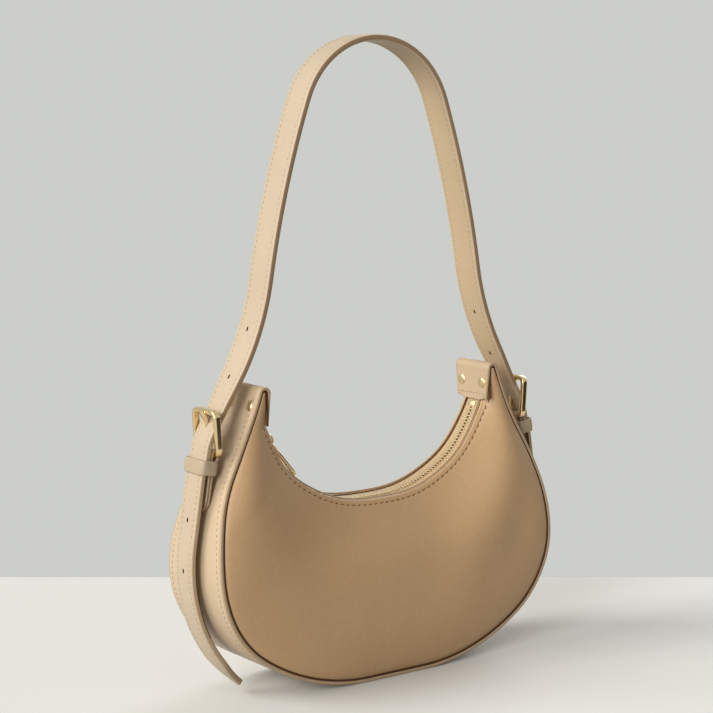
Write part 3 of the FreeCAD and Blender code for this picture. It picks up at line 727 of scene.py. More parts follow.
# panels: a slack shell lofted from the mouth to the seam, its top edge turned and stitched
panel = {
    "bulge": 0.11, "recess": 0.5, "stations": 72, "hornStations": 11, "rows": 22, "rowEase": 1.35,
    "nearEdge": [1.0, 1.4, 1.8, 2.1, 2.4, 2.7, 3.0, 3.4, 4.0, 5.0, 6.5], "edgeSpan": 22, "fadeSpan": 30,
    "hornTop": 181.6, "hornPoint": 0.5, "pointFrom": 1.5, "hornOutBy": 13, "hornLip": 1.9,
    "groove": 0.3, "grooveWide": 0.55, "turnedEdge": 0.3, "turnedAt": 1.7, "turnedWide": 0.9,
    "seamRoll": 1.5, "seamReach": 4.0, "fullFrom": 0.72, "fullBy": 1.0, "rimTurns": (-60, -30, 0, 30, 60),
    "sag": 0.96, "sagWide": 62, "sagTall": 55, "sagLayer": 3.7,
    "stitchIn": 2.7, "pitch": 4.15, "stitchReach": 0.985, "stitchSize": (2.6, 0.5, 0.3, 20.0),
    "feelU": 0.006, "feelD": 2.0,  # how far to each side the slope under a stitch is felt
    # soft folds: middle x and z, reach along and across, lean of the fold, height
    "folds": [(67, 102, 46, 27, 68, 8.5), (101, 84, 34, 18, 75, -1.5), (-54, 104, 30, 19, 60, -1.8),
              (2, 82, 46, 22, 0, 5.4), (-104, 118, 22, 22, 0, 1.4)],
}
slack = {"rise": 2.9, "riseReach": 17.0, "drop": 1.2, "dropAt": 44.0, "dropReach": 11.0, "steps": 200}


def bell(off, reach):
    return exp(-(off / reach) ** 2)


def strayed(angle):
    turn = abs(degrees(angle))  # the soft mouth strays from its arc: up in the middle, out at the flanks
    up = slack["rise"] * bell(turn, slack["riseReach"])
    return slack["drop"] * bell(turn - slack["dropAt"], slack["dropReach"]) - up


def mouthAt(angle):
    r = mouthRadius + strayed(angle)
    return r * sin(angle), mouthZ - r * cos(angle)


mouthLine = [mouthAt(mouthTurn * i / slack["steps"]) for i in range(slack["steps"] + 1)]
seamLine = bodyLine(form["seamInset"], legFoot)
mouthLong, seamLong = lineLength(mouthLine), lineLength(seamLine)


def panelEnds(u):
    end, share = (-1 if u < 0 else 1), abs(u)
    if share <= 1:
        m = atLengths(mouthLine, [mouthLong * share])[0]
        s = atLengths(seamLine, [seamLong * share])[0]
        return end, m, s, halfGap(end * m[0]) + form["panelThick"]
    rise = (share - 1) * (panel["hornTop"] - legFoot)
    z = legFoot + rise
    x, yMouth = neckAt(z, form["seamInset"]), halfGap(end * mouthEndX) + form["panelThick"]
    out = min(1.0, rise / panel["hornOutBy"]) * (form["hornHalfDepth"] - panel["hornLip"] - yMouth)
    draw = panel["hornPoint"] * max(0.0, share - panel["pointFrom"]) * (x - mouthEndX)
    return end, (mouthEndX + draw, z), (x - draw, z), yMouth + out


def panelOuter(u, d):
    end, m, s, yMouth = panelEnds(u)
    span = dist(m, s)
    v = min(d / span, 1.0)
    x, z = m[0] + (s[0] - m[0]) * v, m[1] + (s[1] - m[1]) * v
    full = clamp((abs(u) - panel["fullFrom"]) / (1 - panel["fullFrom"]))
    outward = 1 - (1 - v) ** (1 + panel["fullBy"] * full)
    y = yMouth + (halfDepth(s[1]) - panel["recess"] - yMouth) * outward
    y += panel["bulge"] * span * 4 * v * (1 - v)
    fade = min(1.0, span / panel["fadeSpan"])
    y -= panel["groove"] * fade * bell(d - panel["stitchIn"], panel["grooveWide"])
    y += panel["turnedEdge"] * fade * bell(d - panel["turnedAt"], panel["turnedWide"])
    y -= panel["seamRoll"] * fade * (1 - clamp((span - d) / (panel["seamReach"] * fade))) ** 2
    away = sin(pi * v) ** 2 * fade
    spot = Vector((end * x / panel["sagWide"], panel["sagLayer"], z / panel["sagTall"]))
    y += panel["sag"] * away * noise.noise(spot)
    for foldAtX, foldAtZ, along, across, turn, high in panel["folds"]:
        turn = radians(turn)
        a, b = end * x - foldAtX, z - foldAtZ
        run = (a * cos(turn) + b * sin(turn)) / along
        off = (b * cos(turn) - a * sin(turn)) / across
        y += high * away * exp(-run * run - off * off)
    return Vector((end * x, -y, z))


def panelLoop(u):
    end, m, s, yMouth = panelEnds(u)
    span, rows, r = dist(m, s), panel["rows"], form["panelThick"] / 2
    scale = min(1.0, span / panel["edgeSpan"])
    depths = [d * scale for d in panel["nearEdge"]]
    rest = span - depths[-1]
    depths += [span - rest * (1 - i / rows) ** panel["rowEase"] for i in range(1, rows + 1)]
    outer = [panelOuter(u, d) for d in depths]
    inner = [p + wayY * form["panelThick"] for p in outer]
    up = Vector((end * (m[0] - s[0]), 0, m[1] - s[1])) / span
    middle = (outer[0] + inner[0]) / 2
    turns = [radians(a) for a in panel["rimTurns"]]
    rim = [middle + up * (r * scale * cos(a)) + wayY * (r * sin(a)) for a in turns]
    return list(reversed(outer)) + rim + inner


def panelShares():
    n, h = panel["stations"], panel["hornStations"]
    right = [i / n for i in range(1, n + 1)] + [1 + i / h for i in range(1, h + 1)]
    return [-u for u in reversed(right)] + [0.0] + right


def makePanels():
    shell = lofted("frontPanelShell", [panelLoop(u) for u in panelShares()], [panelLeather])
    settlePair(shell, "body_leather", "front_panel")
    count, row = int(2 * mouthLong / panel["pitch"]), panel["stitchIn"]
    places = []
    for i in range(count + 1):
        u = (2 * i / count - 1) * panel["stitchReach"]
        along = panelOuter(u + panel["feelU"], row) - panelOuter(u - panel["feelU"], row)
        out = along.cross(panelOuter(u, row + panel["feelD"]) - panelOuter(u, row - panel["feelD"]))
        places.append((panelOuter(u, row), along, -out if out.y > 0 else out))
    stitches = stitchRow("frontMouthStitches", places, threadDark, *panel["stitchSize"])
    settlePair(stitches, "body_leather")


makePanels()
print("panels made")

# horn rivets: domed caps inside the leg and outside the neck
rivet = {
    "drop": 12.0, "spacing": 19.6, "lean": 10.0,
    "dome": [(0.0, 1.15), (1.1, 1.1), (2.0, 0.95), (2.8, 0.7), (3.3, 0.4), (3.5, 0.1), (3.5, -0.25)],
}


def makeRivets():
    z = hornTop - rivet["drop"]
    lift = (neckAt(z) - legFace) * tan(radians(rivet["lean"])) / 2
    neck = neckAt(z + lift)
    bm = bmesh.new()
    for y in (-rivet["spacing"] / 2, rivet["spacing"] / 2):
        spin(bm, rivet["dome"], (legFace, y, z - lift), (-1, 0, 0))
        spin(bm, rivet["dome"], (neck, y, z + lift), (neckX - neck, 0, neckZ - z - lift))
    settlePair(newPiece("rightHornRivets", bm, [rivetGold], sharp=60), "gold_metal", "right_rivets")


makeRivets()
print("rivets made")

# zip: tapes, facings, interlocking teeth and stops along the mouth
zipper = {
    "tapeThick": 0.6, "tapeInner": 1.5, "tapeUnder": 0.3, "edgeGap": 0.1, "edgeLine": 0.4, "edgeLineIn": 0.75,
    "facingThick": 1, "facingRows": (0.5, 4.0, 7.2), "rimLine": 0.5, "rimOut": 0.1, "rimUp": 0.75,
    "pitch": 2.3, "toothHalf": 0.55, "toothOuter": 3.2, "toothHead": 0.55, "toothHigh": 1.05,
    "toothBevel": 0.24, "stopHalf": 1.5, "stopHead": -0.2, "stopIn": 5.3, "endStopIn": 3.2,
    "teethIn": 20.7, "endTeethIn": 4.9, "stations": 90, "facingStations": 60, "tapeRows": 6,
}
tapeEnd = acos((mouthZ - legFoot + 2 * form["tapeDrop"]) / zipRadius)


def onZip(angle, y, high):
    r = zipRadius + strayed(angle) - high
    return Vector((r * sin(angle), y, mouthZ - r * cos(angle)))


def tapeAngles(count):
    return [tapeEnd * (2 * i / count - 1) for i in range(count + 1)]


def makeTapes():
    half = zipper["tapeThick"] / 2
    for end, name in ((-1, "front"), (1, "back")):
        loops, edge = [], []
        for angle in tapeAngles(zipper["stations"]):
            outer = halfGap(zipRadius * sin(angle)) + zipper["tapeUnder"]
            past = (tapeEnd - angle) * zipRadius < zipper["endTeethIn"]
            inner = zipper["edgeGap"] if past else zipper["tapeInner"]
            rows = zipper["tapeRows"]
            across = [inner + (outer - inner) * j / rows for j in range(rows + 1)]
            top = [onZip(angle, end * y, half) for y in across]
            loops.append(top + [onZip(angle, end * y, -half) for y in reversed(across)])
            edge.append(onZip(angle, end * (outer - zipper["edgeLineIn"]), half))
        settle(lofted(name + "ZipTape", loops, [tapeCloth]), "zip_tape", name + "_zip_tape")
        if name == "back":
            settle(sweepTube("backTapeEdge", edge, zipper["edgeLine"], edgePaint, sides=8), "zip_tape")
        makeFacing(end, name)


def makeFacing(end, name):
    rows = zipper["facingRows"]
    loops, rim = [], []
    for angle in tapeAngles(zipper["facingStations"]):
        outer = halfGap(zipRadius * sin(angle)) - form["layGap"]
        ring = [(outer, -h) for h in rows] + [(outer - zipper["facingThick"], -h) for h in reversed(rows)]
        loops.append([onZip(angle, end * y, high) for y, high in ring])
    for angle in tapeAngles(zipper["stations"]):
        outer = halfGap(zipRadius * sin(angle)) + zipper["rimOut"]
        rim.append(onZip(angle, end * outer, form["tapeDrop"] + zipper["rimUp"]))
    facing = lofted(name + "FacingStrip", loops, [panelLeather])
    bead = sweepTube(name + "RimLine", rim, zipper["rimLine"], weltLeather, sides=8)
    settle(joined(name + "Facing", [facing, bead]), "body_leather", name + "_facing")


def addTooth(bm, angle, end, half, head):
    outline = [(-half, -head), (half, -head), (half, zipper["toothOuter"]), (-half, zipper["toothOuter"])]
    addPlate(bm, outline, -zipper["toothHigh"], zipper["toothHigh"], zipper["toothBevel"],
             lambda along, across, lift: onZip(angle + along / zipRadius, end * across, lift))


def makeToothRow(name, material, row, node):
    bm = bmesh.new()
    for angle, end, half, head in row:
        addTooth(bm, angle, end, half, head)
    settle(newPiece(name, bm, [material]), "zip_metal", node)


def makeTeeth():
    step = zipper["pitch"] / zipRadius
    first = tapeEnd - zipper["teethIn"] / zipRadius
    last = tapeEnd - zipper["endTeethIn"] / zipRadius
    count = round((first + last) / step)
    half, head, stop = zipper["toothHalf"], zipper["toothHead"], zipper["stopHalf"]
    for end, name, shift in ((1, "back", 0.0), (-1, "front", 0.5)):
        row = [((i + shift) * step - first, end, half, head) for i in range(count)]
        makeToothRow(name + "ZipTeeth", chainBrass, row, name + "_zip_teeth")
    start = zipper["stopIn"] / zipRadius - tapeEnd
    row = [(start, end, stop, zipper["stopHead"]) for end in (-1, 1)]
    makeToothRow("zipTopStops", stopBrass, row, "zip_top_stops")
    row = [(tapeEnd - zipper["endStopIn"] / zipRadius, 1, stop, zipper["toothOuter"])]
    makeToothRow("zipEndStop", stopBrass, row, "zip_end_stop")


# slider: two plates with rails, a post between them and a bail over the top
slider = {
    "in": 14.3, "plate": 0.8, "gap": 2.05, "bevel": 0.3, "railGap": 1.45, "overlap": 0.1,
    "half": [(-4.5, 2.6), (-4.0, 4.2), (-1.2, 4.4), (2.0, 4.1), (4.3, 3.6), (4.5, 2.4)],
    "rail": [(-3.9, 3.5), (3.6, 3.3), (3.6, 3.9), (-3.9, 4.2)],
    "post": [(-4.3, -1.0), (-2.2, -0.5), (-2.2, 0.5), (-4.3, 1.0)],
    "bailGap": 5.0, "bailOver": 0.5, "bailSink": 0.3, "bailWire": 0.9, "bailFlat": 0.6,
    "bail": [(-3.15, 0.5), (-2.6, 0.92), (0, 1.0), (2.6, 0.92), (3.15, 0.5)], "bailFoot": 3.0,
}
sliderAngle = slider["in"] / zipRadius - tapeEnd


def makeSlider():
    def place(along, across, lift):
        return onZip(sliderAngle + along / zipRadius, across, lift)

    gap, lap = slider["gap"], slider["overlap"]
    top = gap + slider["plate"]
    outline = roundedShape(slider["half"])
    bm = bmesh.new()
    addPlate(bm, outline, gap, top, slider["bevel"], place)
    addPlate(bm, outline, -top, -gap, slider["bevel"], place)
    for end in (-1, 1):
        rail = [(a, end * b) for a, b in slider["rail"]]
        addPlate(bm, rail, slider["railGap"], gap + lap, lap, place)
        addPlate(bm, rail, -gap - lap, -slider["railGap"], lap, place)
    addPlate(bm, slider["post"], -gap - lap, gap + lap, lap, place)
    body = newPiece("sliderBody", bm, [goldMetal])
    foot, sink, rise = slider["bailFoot"], slider["bailSink"], slider["bailGap"] + slider["bailOver"]
    arch = [(-foot, -sink)] + [(a, h * rise) for a, h in slider["bail"]] + [(foot, -sink)]
    arch = [place(a, 0, top + h) for a, h in softened(arch)]
    bail = sweepTube("sliderBail", arch, slider["bailWire"], goldMetal, flat=slider["bailFlat"])
    settle(joined("zipSlider", [body, bail]), "zip_metal", "zip_slider", body="slider")


# puller: a link through the bail and a flat bar
puller = {
    "tilt": 7.6, "pinAlong": 1.5, "link": 8.0, "linkHalf": 1.9, "linkWire": 0.62, "thick": 0.8, "bevel": 0.35,
    "half": [(-1.2, 1.2), (0.3, 1.9), (7.4, 2.3), (17.8, 2.7), (20.0, 1.7)],  # from the link's end
}


def makePuller():
    way = sliderAngle
    pin = onZip(way, 0, slider["gap"] + slider["plate"] + slider["bailGap"] / 2)
    pin += Vector((cos(way), 0, sin(way))) * puller["pinAlong"]
    way += radians(puller["tilt"])
    along, up = Vector((cos(way), 0, sin(way))), Vector((-sin(way), 0, cos(way)))

    def place(a, b, h):
        return pin + along * a + wayY * b + up * h

    long, half = puller["link"], puller["linkHalf"]
    ring = softened([(0, -half), (0, half), (long, half), (long, -half)], 3, True)
    ring = [place(a, b, 0) for a, b in ring]
    link = sweepTube("pullerLink", ring, puller["linkWire"], goldMetal, sides=10, closed=True, up=up)
    bm = bmesh.new()
    outline = roundedShape([(long + a, b) for a, b in puller["half"]])
    addPlate(bm, outline, -puller["thick"], puller["thick"], puller["bevel"], place)
    bar = newPiece("pullerBar", bm, [goldMetal])
    settle(joined("zipPuller", [link, bar]), "zip_metal", "zip_puller", body="puller")


makeTapes()
makeTeeth()
makeSlider()
makePuller()
print("zip made")

# side hardware, placed from the hinge bar of the right buckle and mirrored to the left
flank = {"hinge": (115.622, 147.0), "lean": 9.0}
lean = radians(flank["lean"])
hinge = Vector((flank["hinge"][0], 0, flank["hinge"][1]))
sideDown = Vector((sin(lean), 0, -cos(lean)))
sideOut = Vector((cos(lean), 0, sin(lean)))


def onSide(downBy, outBy, y=0.0):
    return hinge + sideDown * downBy + sideOut * outBy + wayY * y


# chape: a leather loop round the hinge bar, sewn to the side of the bag
chape = {
    "thick": 1.5, "edge": 0.6, "half": 8.5, "long": 35.0, "out": 3.05, "in": -0.15, "step": 1.1,
    "tuck": [(14, 0.0), (9, 0.2), (5.5, 1.1)], "neck": (2.6, 0.15), "leastSquare": 0.3, "frontAt": (0, 6),
    "loopTurns": (10, 175, 12),
    "slot": [(-4.5, -1.5), (4.2, -1.5), (4.2, 1.5), (-4.5, 1.5)], "slotDeep": 6, "slotBevel": 0.05,
    "stitchIn": 2.2, "stitchUp": 0.05, "stitchLong": 1.5, "tipStitches": 12, "sideStitches": 7,
    "sideFrom": 5, "pitch": 3.4,
}


def makeChape():
    outer, inner, long, h = (chape[word] for word in ("out", "in", "long", "half"))
    back = [(long, inner)] + [(d, inner - n) for d, n in chape["tuck"]]
    back.append((chape["neck"][0], chape["neck"][1] - outer))
    turns = [radians(a) for a in range(*chape["loopTurns"])]
    loop = [(-outer * sin(a), -outer * cos(a)) for a in turns]
    front = [(d, outer) for d in (*chape["frontAt"], long)]
    line = evenly(softened(back + loop + front), chape["step"])
    halves = [cornerHalf(h, near, chape["leastSquare"]) if near < h else h for near in nearEnds(line)]
    points = [onSide(d, n) for d, n in line]
    piece = sweepStrip("rightChape", points, planeNormals(points, wayY), wayY, halves, chape["thick"],
                       chape["edge"], [strapLeather, strapEdge])
    bm = bmesh.new()
    addPlate(bm, chape["slot"], -chape["slotDeep"], chape["slotDeep"], chape["slotBevel"],
             lambda d, y, n: onSide(d, n, y))
    cutBy(piece, [newPiece("chapeSlot", bm, [edgePaint])])
    settlePair(piece, "strap_leather", "right_chape")
    places, row, face = [], h - chape["stitchIn"], outer + chape["stitchUp"]
    for i in range(chape["tipStitches"]):
        turn = pi * (i + 0.5) / chape["tipStitches"]
        way = sideDown * cos(turn) - wayY * sin(turn)
        places.append((onSide(long - h + row * sin(turn), face, row * cos(turn)), way, sideOut))
    for y in (-row, row):
        for i in range(chape["sideStitches"]):
            places.append((onSide(chape["sideFrom"] + i * chape["pitch"], face, y), sideDown, sideOut))
    stitches = stitchRow("rightChapeStitches", places, threadTan, chape["stitchLong"])
    settlePair(stitches, "strap_leather")


# buckle: a flat rounded frame, and a prong that bends in to pass the strap's hole
buckle = {"lean": 3.4, "tall": 25.0, "half": 11.5, "corner": 3.4, "deep": 2.1, "flat": 0.68, "square": 0.5}
prong = {
    "over": 2.9, "thick": 0.85, "bevel": 0.3, "dip": 2.4, "bend": 1.25,
    "ring": 2.25, "wire": 1.05, "wireFlat": 0.72,
    # share of the length, further on, half width
    "shaft": [(0, 1.8, 0.8), (0.3, 0, 0.8), (0.5, 0, 0.75), (1, -9.0, 0.7), (1, -5.5, 1.5), (1, -3.0, 2.6),
              (1, -0.8, 3.2), (1, 0.5, 2.8)],
}
frameUp = Vector((sin(radians(buckle["lean"])), 0, cos(radians(buckle["lean"]))))
frameOut = Vector((frameUp.z, 0, -frameUp.x))
prongRest = frameUp * buckle["tall"] + frameOut * prong["over"]
prongWay = prongRest.normalized()
prongOut = Vector((prongWay.z, 0, -prongWay.x))


def makeBuckle():
    ring = roundedBox(-buckle["half"], buckle["half"], 0, buckle["tall"], buckle["corner"])
    points = [hinge + frameUp * c + wayY * b for b, c in ring]
    piece = sweepTube("rightBuckle", points, buckle["deep"], goldMetal, sides=24, closed=True,
                      flat=buckle["flat"], up=frameOut, square=buckle["square"])
    settlePair(piece, "gold_metal", "right_buckle", body="right_frame")


def onProng(a, b, h):
    share = clamp((a - prong["ring"]) / (prongRest.length - prong["ring"]))
    dip = prong["dip"] * sin(pi * share ** prong["bend"])
    return hinge + prongWay * a + prongOut * (h - dip) + wayY * b


def makeProng():
    shaft = [(prongRest.length * share + on, half) for share, on, half in prong["shaft"]]
    bm = bmesh.new()
    addBar(bm, softened(shaft), prong["thick"], prong["bevel"], onProng)
    bar = newPiece("prongBar", bm, [goldMetal])
    turns, r = [radians(a) for a in range(0, 360, 15)], prong["ring"]
    ring = [hinge + prongWay * (r * cos(a)) + prongOut * (r * sin(a)) for a in turns]
    wrap = sweepTube("prongWrap", ring, prong["wire"], goldMetal, closed=True, flat=prong["wireFlat"])
    settlePair(joined("rightProng", [bar, wrap]), "gold_metal", "right_prong", body="right_tongue")


# keeper: a leather loop round chape and tail
keeper = {"top": 3.4, "tall": 8.6, "wall": 1.4, "in": -0.5, "out": 8.6, "half": 9.35, "corner": 3.4,
          "edge": 0.55, "crown": 0.15}


def makeKeeper():
    wall, tall = keeper["wall"], keeper["tall"] / 2
    half = keeper["half"] + wall
    ring = roundedBox(keeper["in"] - wall, keeper["out"] + wall, -half, half, keeper["corner"])
    points = [onSide(keeper["top"] + tall, n, y) for n, y in ring]
    normals = planeNormals(points, -sideDown, True)
    # the keeper's faces take the darker leather, painted shade
    piece = sweepStrip("rightKeeper", points, normals, sideDown, [tall] * len(points), wall,
                       keeper["edge"], [keeperLeather, strapEdge], keeper["crown"], closed=True)
    settlePair(piece, "strap_leather", "right_keeper", body="right_loop")


makeChape()
makeBuckle()
makeProng()
makeKeeper()
print("side hardware made")

# strap: one belt from the long left tail over the arch to the short right tail
strap = {
    "half": 9.0, "archHalf": 10.8, "thick": 3.6, "off": 3.4, "edge": 1.0, "crown": 0.25, "step": 2.4,
    "crownRadius": 36.0, "crownLean": 30.0, "slingLong": 38.0, "flareRadius": 160.0, "flareLean": 9.4,
    "riseRadius": 595.0, "riseLean": 19.8, "growFrom": 166.0, "growTo": 198.0,
    "tailTop": 168.0, "tailStraight": 53.0, "tailRadius": 97.0, "tailTurn": 61.0, "shortStraight": 60.0,
    "tailOut": 1.3, "outBy": 14.0, "tipLong": 22.0, "tipHalf": 3.2, "leastSquare": 0.02,
    "tipRows": [0.0, 0.3, 0.8, 1.5, 2.3, 3.2],
    # the first two sizes on the next line bound in height the dark shadow line painted low on the tail's
    # flank
    "shadowLow": 40.0, "shadowHigh": 142.0, "flankFacing": 0.86, "archMiddle": 200.0, "backFacing": 0.35,
    "grooveWide": 0.08, "grooveDeep": 0.16, "stitchIn": 2.9, "pitch": 3.3, "stitchSink": 0.08,
    "stitchSize": (1.9, 0.36, 0.26),
    "holeHalf": 0.8, "holeLong": 3.0, "holeCut": (-6.0, 3.0), "holePitch": 30.0, "tailHoleAt": 39.5,
    "spareBack": 3.4, "slotFrom": 5.0, "slotTo": 16.6, "slotHalf": 0.9, "slotDeep": 1.15, "slotBevel": 0.2,
    "bendStep": 0.8, "slingRows": 20, "tailRows": 30, "slotRows": 12, "holeSides": 16,
    "blendFrom": 0.170, "blendTo": 0.196,  # in metres
}


def strapRise():
    crown, flare, rise = (radians(strap[word]) for word in ("crownLean", "flareLean", "riseLean"))
    c = onSide(0, strap["off"] + strap["thick"]) - sideOut * strap["crownRadius"]
    first = runArc(c.x, c.z, strap["crownRadius"], lean, crown, strap["bendStep"])
    (x, z), rows = first[-1], strap["slingRows"]
    runs = [strap["slingLong"] * i / rows for i in range(rows + 1)]
    sling = [(x - run * sin(crown), z + run * cos(crown)) for run in runs]
    second = arcFrom(sling[-1], strap["flareRadius"], pi + crown, pi + flare)
    third = arcFrom(second[-1], strap["riseRadius"], flare, rise)
    top = arcFrom(third[-1], third[-1][0] / cos(rise), rise, pi / 2)
    return joinRuns(first, sling, second, third, top)


def hanging(long):
    points, rows = [], strap["tailRows"]
    for i in range(rows + 1):
        d = long * i / rows
        p = onSide(d, strap["off"] + strap["thick"] + strap["tailOut"] * eased(d / strap["outBy"]))
        points.append((p.x, p.z))
    return points


def longTail():
    straight = hanging(strap["tailStraight"])
    x, z = straight[-1]
    c = Vector((x, 0, z)) - sideOut * strap["tailRadius"]
    return joinRuns(straight, runArc(c.x, c.z, strap["tailRadius"], lean, lean - radians(strap["tailTurn"])))


def tipHalf(near):
    r, long = strap["tipHalf"], strap["tipLong"]
    if near < r:
        return cornerHalf(r, near, strap["leastSquare"])
    return min(strap["half"], r + (strap["half"] - r) * (near - r) / (long - r))


def beltHalf(z):
    grown = eased((z - strap["growFrom"]) / (strap["growTo"] - strap["growFrom"]))
    return strap["half"] + (strap["archHalf"] - strap["half"]) * grown


def onBelt(line, spot):
    a, p, b = (Vector(q) for q in inSpace(atLengths(line, [spot - 1, spot, spot + 1])))
    along = (b - a).normalized()
    return p, along, Vector((-along.z, 0, along.x))


def makeHole(at, along, out):
    ring = [2 * pi * i / strap["holeSides"] for i in range(strap["holeSides"])]
    reach, half = strap["holeLong"] / 2, strap["holeHalf"]
    rows = []
    for h in strap["holeCut"]:
        rows.append([at + out * h + wayY * (half * sin(a)) + along * (reach * cos(a)) for a in ring])
    return lofted("hole", rows, [edgePaint])


def beltMesh(line, total):
    tip, last = strap["tipRows"], strap["tipRows"][-1]
    count = round((total - 2 * last) / strap["step"])
    middle = [last + (total - 2 * last) * i / count for i in range(1, count)]
    lengths = tip + middle + [total - d for d in reversed(tip)]
    points = atLengths(line, lengths)
    halves = []
    for d, (x, z) in zip(lengths, points):
        half = beltHalf(z)
        halves.append(min(tipHalf(min(d, total - d)), half) if z < strap["tailTop"] else half)
    row = (strap["half"] - strap["stitchIn"]) / (strap["half"] - strap["edge"])
    return sweepStrip("strapBelt", inSpace(points), flatNormals(points, -1), wayY, halves, strap["thick"],
                      strap["edge"], [strapLeather, strapEdge, tailEdge, edgePaint], strap["crown"],
                      groove=(row, strap["grooveWide"], strap["grooveDeep"]))


def paintBelt(mesh):
    mesh.materials.append(strapBack)
    for face in mesh.polygons:
        z, mark = face.center.z / mm, face.material_index
        away = Vector((face.center.x / mm, 0, z - strap["archMiddle"])).normalized()
        if mark == 0 and z > strap["tailTop"] and face.normal.dot(away) < -strap["backFacing"]:
            mark = 4  # the arch's inner face, painted darker as shade
        # outside that height the painted shadow line goes back to the plain edge or face finish
        if mark == 3 and not strap["shadowLow"] < z < strap["shadowHigh"]:
            mark = 1 if abs(face.normal.y) > strap["flankFacing"] else 0
        if mark == 1 and z < strap["tailTop"]:
            mark = 2
        face.material_index = mark


def beltCutters(line, leftHinge, rightHinge):
    pitch, tailHole = strap["holePitch"], strap["tailHoleAt"]
    bend = radians(strap["crownLean"] - flank["lean"]) * strap["crownRadius"]
    risen = bend + strap["slingLong"] - strap["spareBack"]
    spots = [leftHinge - tailHole, leftHinge - tailHole - pitch, rightHinge + tailHole]
    for up in (risen, risen + pitch):
        spots += [leftHinge + up, rightHinge - up]
    cutters = [makeHole(*onBelt(line, spot)) for spot in spots]
    low, high, rows = strap["slotFrom"], strap["slotTo"], strap["slotRows"]
    slot = [(low + (high - low) * i / rows, strap["slotHalf"]) for i in range(rows + 1)]
    for end in (-1, 1):
        bm = bmesh.new()
        addBar(bm, slot, strap["slotDeep"], strap["slotBevel"],
               lambda a, b, h: Vector((end, 1, 1)) * onProng(a, b, h))
        cutters.append(newPiece("prongSlot", bm, [edgePaint]))
    return cutters


def beltStitches(line, total):
    sink, thick = strap["stitchSink"], strap["thick"]
    places = {"outer": [], "inner": []}
    for i in range(int((total - 2 * strap["tipLong"]) / strap["pitch"]) + 1):
        p, along, out = onBelt(line, strap["tipLong"] + i * strap["pitch"])
        half = beltHalf(p.z) - strap["stitchIn"]
        for y in (-half, half):
            places["outer"].append((p + wayY * y - out * sink, along, out))
            places["inner"].append((p + wayY * y - out * (thick - sink), along, -out))
    return [stitchRow(name + "StrapStitches", spots, threadTan, *strap["stitchSize"])
            for name, spots in places.items()]


def makeStrap():
    rise, tail, short = strapRise(), longTail(), hanging(strap["shortStraight"])
    left = [(-x, z) for x, z in reversed(tail)] + [(-x, z) for x, z in rise[1:]]
    line = joinRuns(left, list(reversed(rise))[1:] + short[1:])
    total = lineLength(line)
    piece = beltMesh(line, total)
    paintBelt(piece.data)
    cutBy(piece, beltCutters(line, lineLength(tail), total - lineLength(short)))
    rows = beltStitches(line, total)
    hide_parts("strap", "left_strap_end", "right_strap_end")
    for part in [piece] + rows:
        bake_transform(part)


makeStrap()
print("strap made")

# what stays from the solids, inside the bag
innerFinish = {
    liningCloth: ("front_lining", "back_lining", "gusset_lining", "slip_pocket"),
    strapEdge: ("base_board", "left_horn_filler", "right_horn_filler"),
}
for material, nodes in innerFinish.items():
    for node in nodes:
        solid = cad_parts[node]
        solid.data.materials.clear()
        solid.data.materials.append(material)
print("inner pieces dressed")

# floor, light and camera, in metres
studio = {
    "camera": (-0.68867, -0.92234, 0.35085), "yaw": 36.39, "pitch": 7.75, "lens": 95.8, "sensor": 36.0,
    "floorBack": 0.217, "floorHalf": 3, "floorRough": 0.9, "floorGloss": 0.1,
    "floorColour": (0.79, 0.79, 0.762, 1), "floorReturn": (0.42, 0.41, 0.39, 1),
    "wall": (0.605, 0.615, 0.585, 1), "ambient": 0.31, "ambientColour": (1.0, 0.965, 0.91, 1),
    "cardAt": (0.36, -0.52, 0.17), "cardHalf": (0.3, 0.17), "cardRough": 0.8,
    "cardColour": (0.02, 0.018, 0.016, 1),
    # wide soft lamps, even over the whole floor: place, power, spread, colour
    "lamps": {
        "key": ((-1.5, 0.55, 1.1), 1.95, 34.0, (1.0, 0.985, 0.955)),
        "fill": ((-1.95, -0.88, 0.7), 1.96, 32.0, (1, 1, 1)),
        "rear": ((1.6, 0.9, 0.85), 1.05, 40.0, (1, 1, 1)),
    },
}
yaw, pitch = radians(studio["yaw"]), radians(studio["pitch"])
ahead = Vector((sin(yaw), cos(yaw), 0))
aside = Vector((ahead.y, -ahead.x, 0))


def flatSheet(name, corners, material):
    bm = bmesh.new()
    bm.faces.new([bm.verts.new(p) for p in corners])
    return newPiece(name, bm, [material])


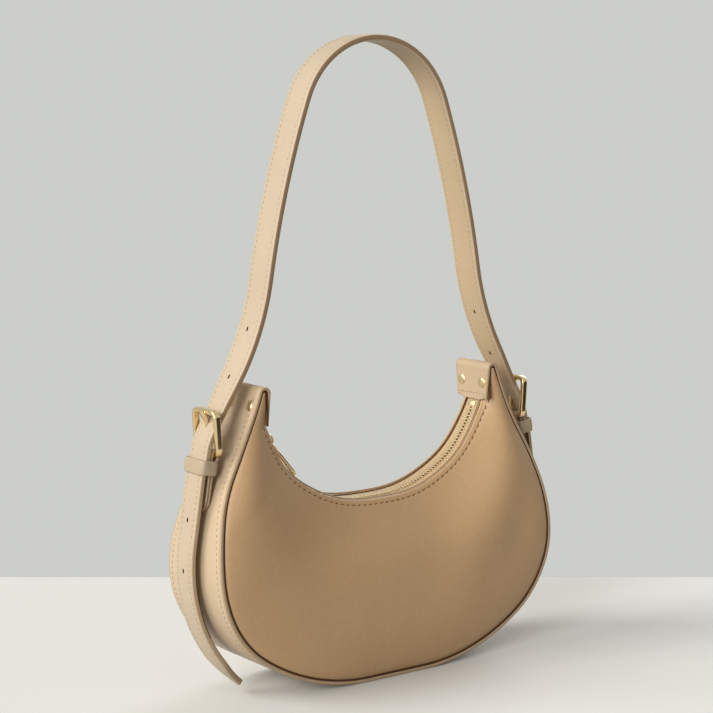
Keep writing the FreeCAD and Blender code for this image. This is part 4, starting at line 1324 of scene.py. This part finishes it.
def makeFloor():
    far, half = studio["floorBack"], studio["floorHalf"]
    spots = ((-half, -half), (-half, half), (far, half), (far, -half))
    material, tree, shader = newMaterial("paleFloor", {
        "Roughness": studio["floorRough"], "Specular IOR Level": studio["floorGloss"]})
    rays = tree.nodes.new("ShaderNodeLightPath")  # it returns less light to the bag than it shows
    tint = mixColour(tree, rays.outputs["Is Diffuse Ray"], studio["floorColour"], studio["floorReturn"])
    tree.links.new(tint, shader["Base Color"])
    flatSheet("paleFloor", [ahead * a + aside * b for a, b in spots], material)


def makeCard():
    wide, tall = studio["cardHalf"]
    across = Vector((ahead.y, ahead.x, 0)) * wide  # a dark card that only the gloss sees
    spots = ((-1, -1), (1, -1), (1, 1), (-1, 1))
    corners = [Vector(studio["cardAt"]) + across * a + Vector((0, 0, b * tall)) for a, b in spots]
    finish = {"Base Color": studio["cardColour"], "Roughness": studio["cardRough"]}
    card = flatSheet("darkCard", corners, newMaterial("darkCard", finish)[0])
    card.visible_camera = False
    card.visible_diffuse = False
    card.visible_shadow = False


def makeLight():
    world = bpy.data.worlds.new("studio")
    bpy.context.scene.world = world
    world.use_nodes = True
    tree = world.node_tree
    light = tree.nodes["Background"]
    light.inputs["Color"].default_value = studio["ambientColour"]
    light.inputs["Strength"].default_value = studio["ambient"]
    seen = addNode(tree, "Background", {"Color": studio["wall"]})  # for the camera and the gloss
    rays = tree.nodes.new("ShaderNodeLightPath").outputs
    either = mathNode(tree, "MAXIMUM", rays["Is Camera Ray"], rays["Is Glossy Ray"])
    mix = addNode(tree, "MixShader", {0: either, 1: light.outputs[0], 2: seen.outputs[0]})
    tree.links.new(mix.outputs[0], tree.nodes["World Output"].inputs["Surface"])
    for name, (place, power, spread, colour) in studio["lamps"].items():
        lamp = bpy.data.lights.new(name, "SUN")
        lamp.angle = radians(spread)
        lamp.energy = power
        lamp.color = colour
        thing = placed(name, lamp)
        thing.location = place
        thing.rotation_euler = (-thing.location).to_track_quat("-Z", "Y").to_euler()


def makeCamera():
    lens = bpy.data.cameras.new("camera")
    lens.lens = studio["lens"]
    lens.sensor_width = studio["sensor"]
    camera = placed("camera", lens)
    camera.location = studio["camera"]
    camera.rotation_euler = (pi / 2 - pitch, 0, -yaw)
    bpy.context.scene.camera = camera
    bpy.context.scene.view_settings.view_transform = "Standard"


makeFloor()
makeCard()
makeLight()
makeCamera()
print("studio ready")
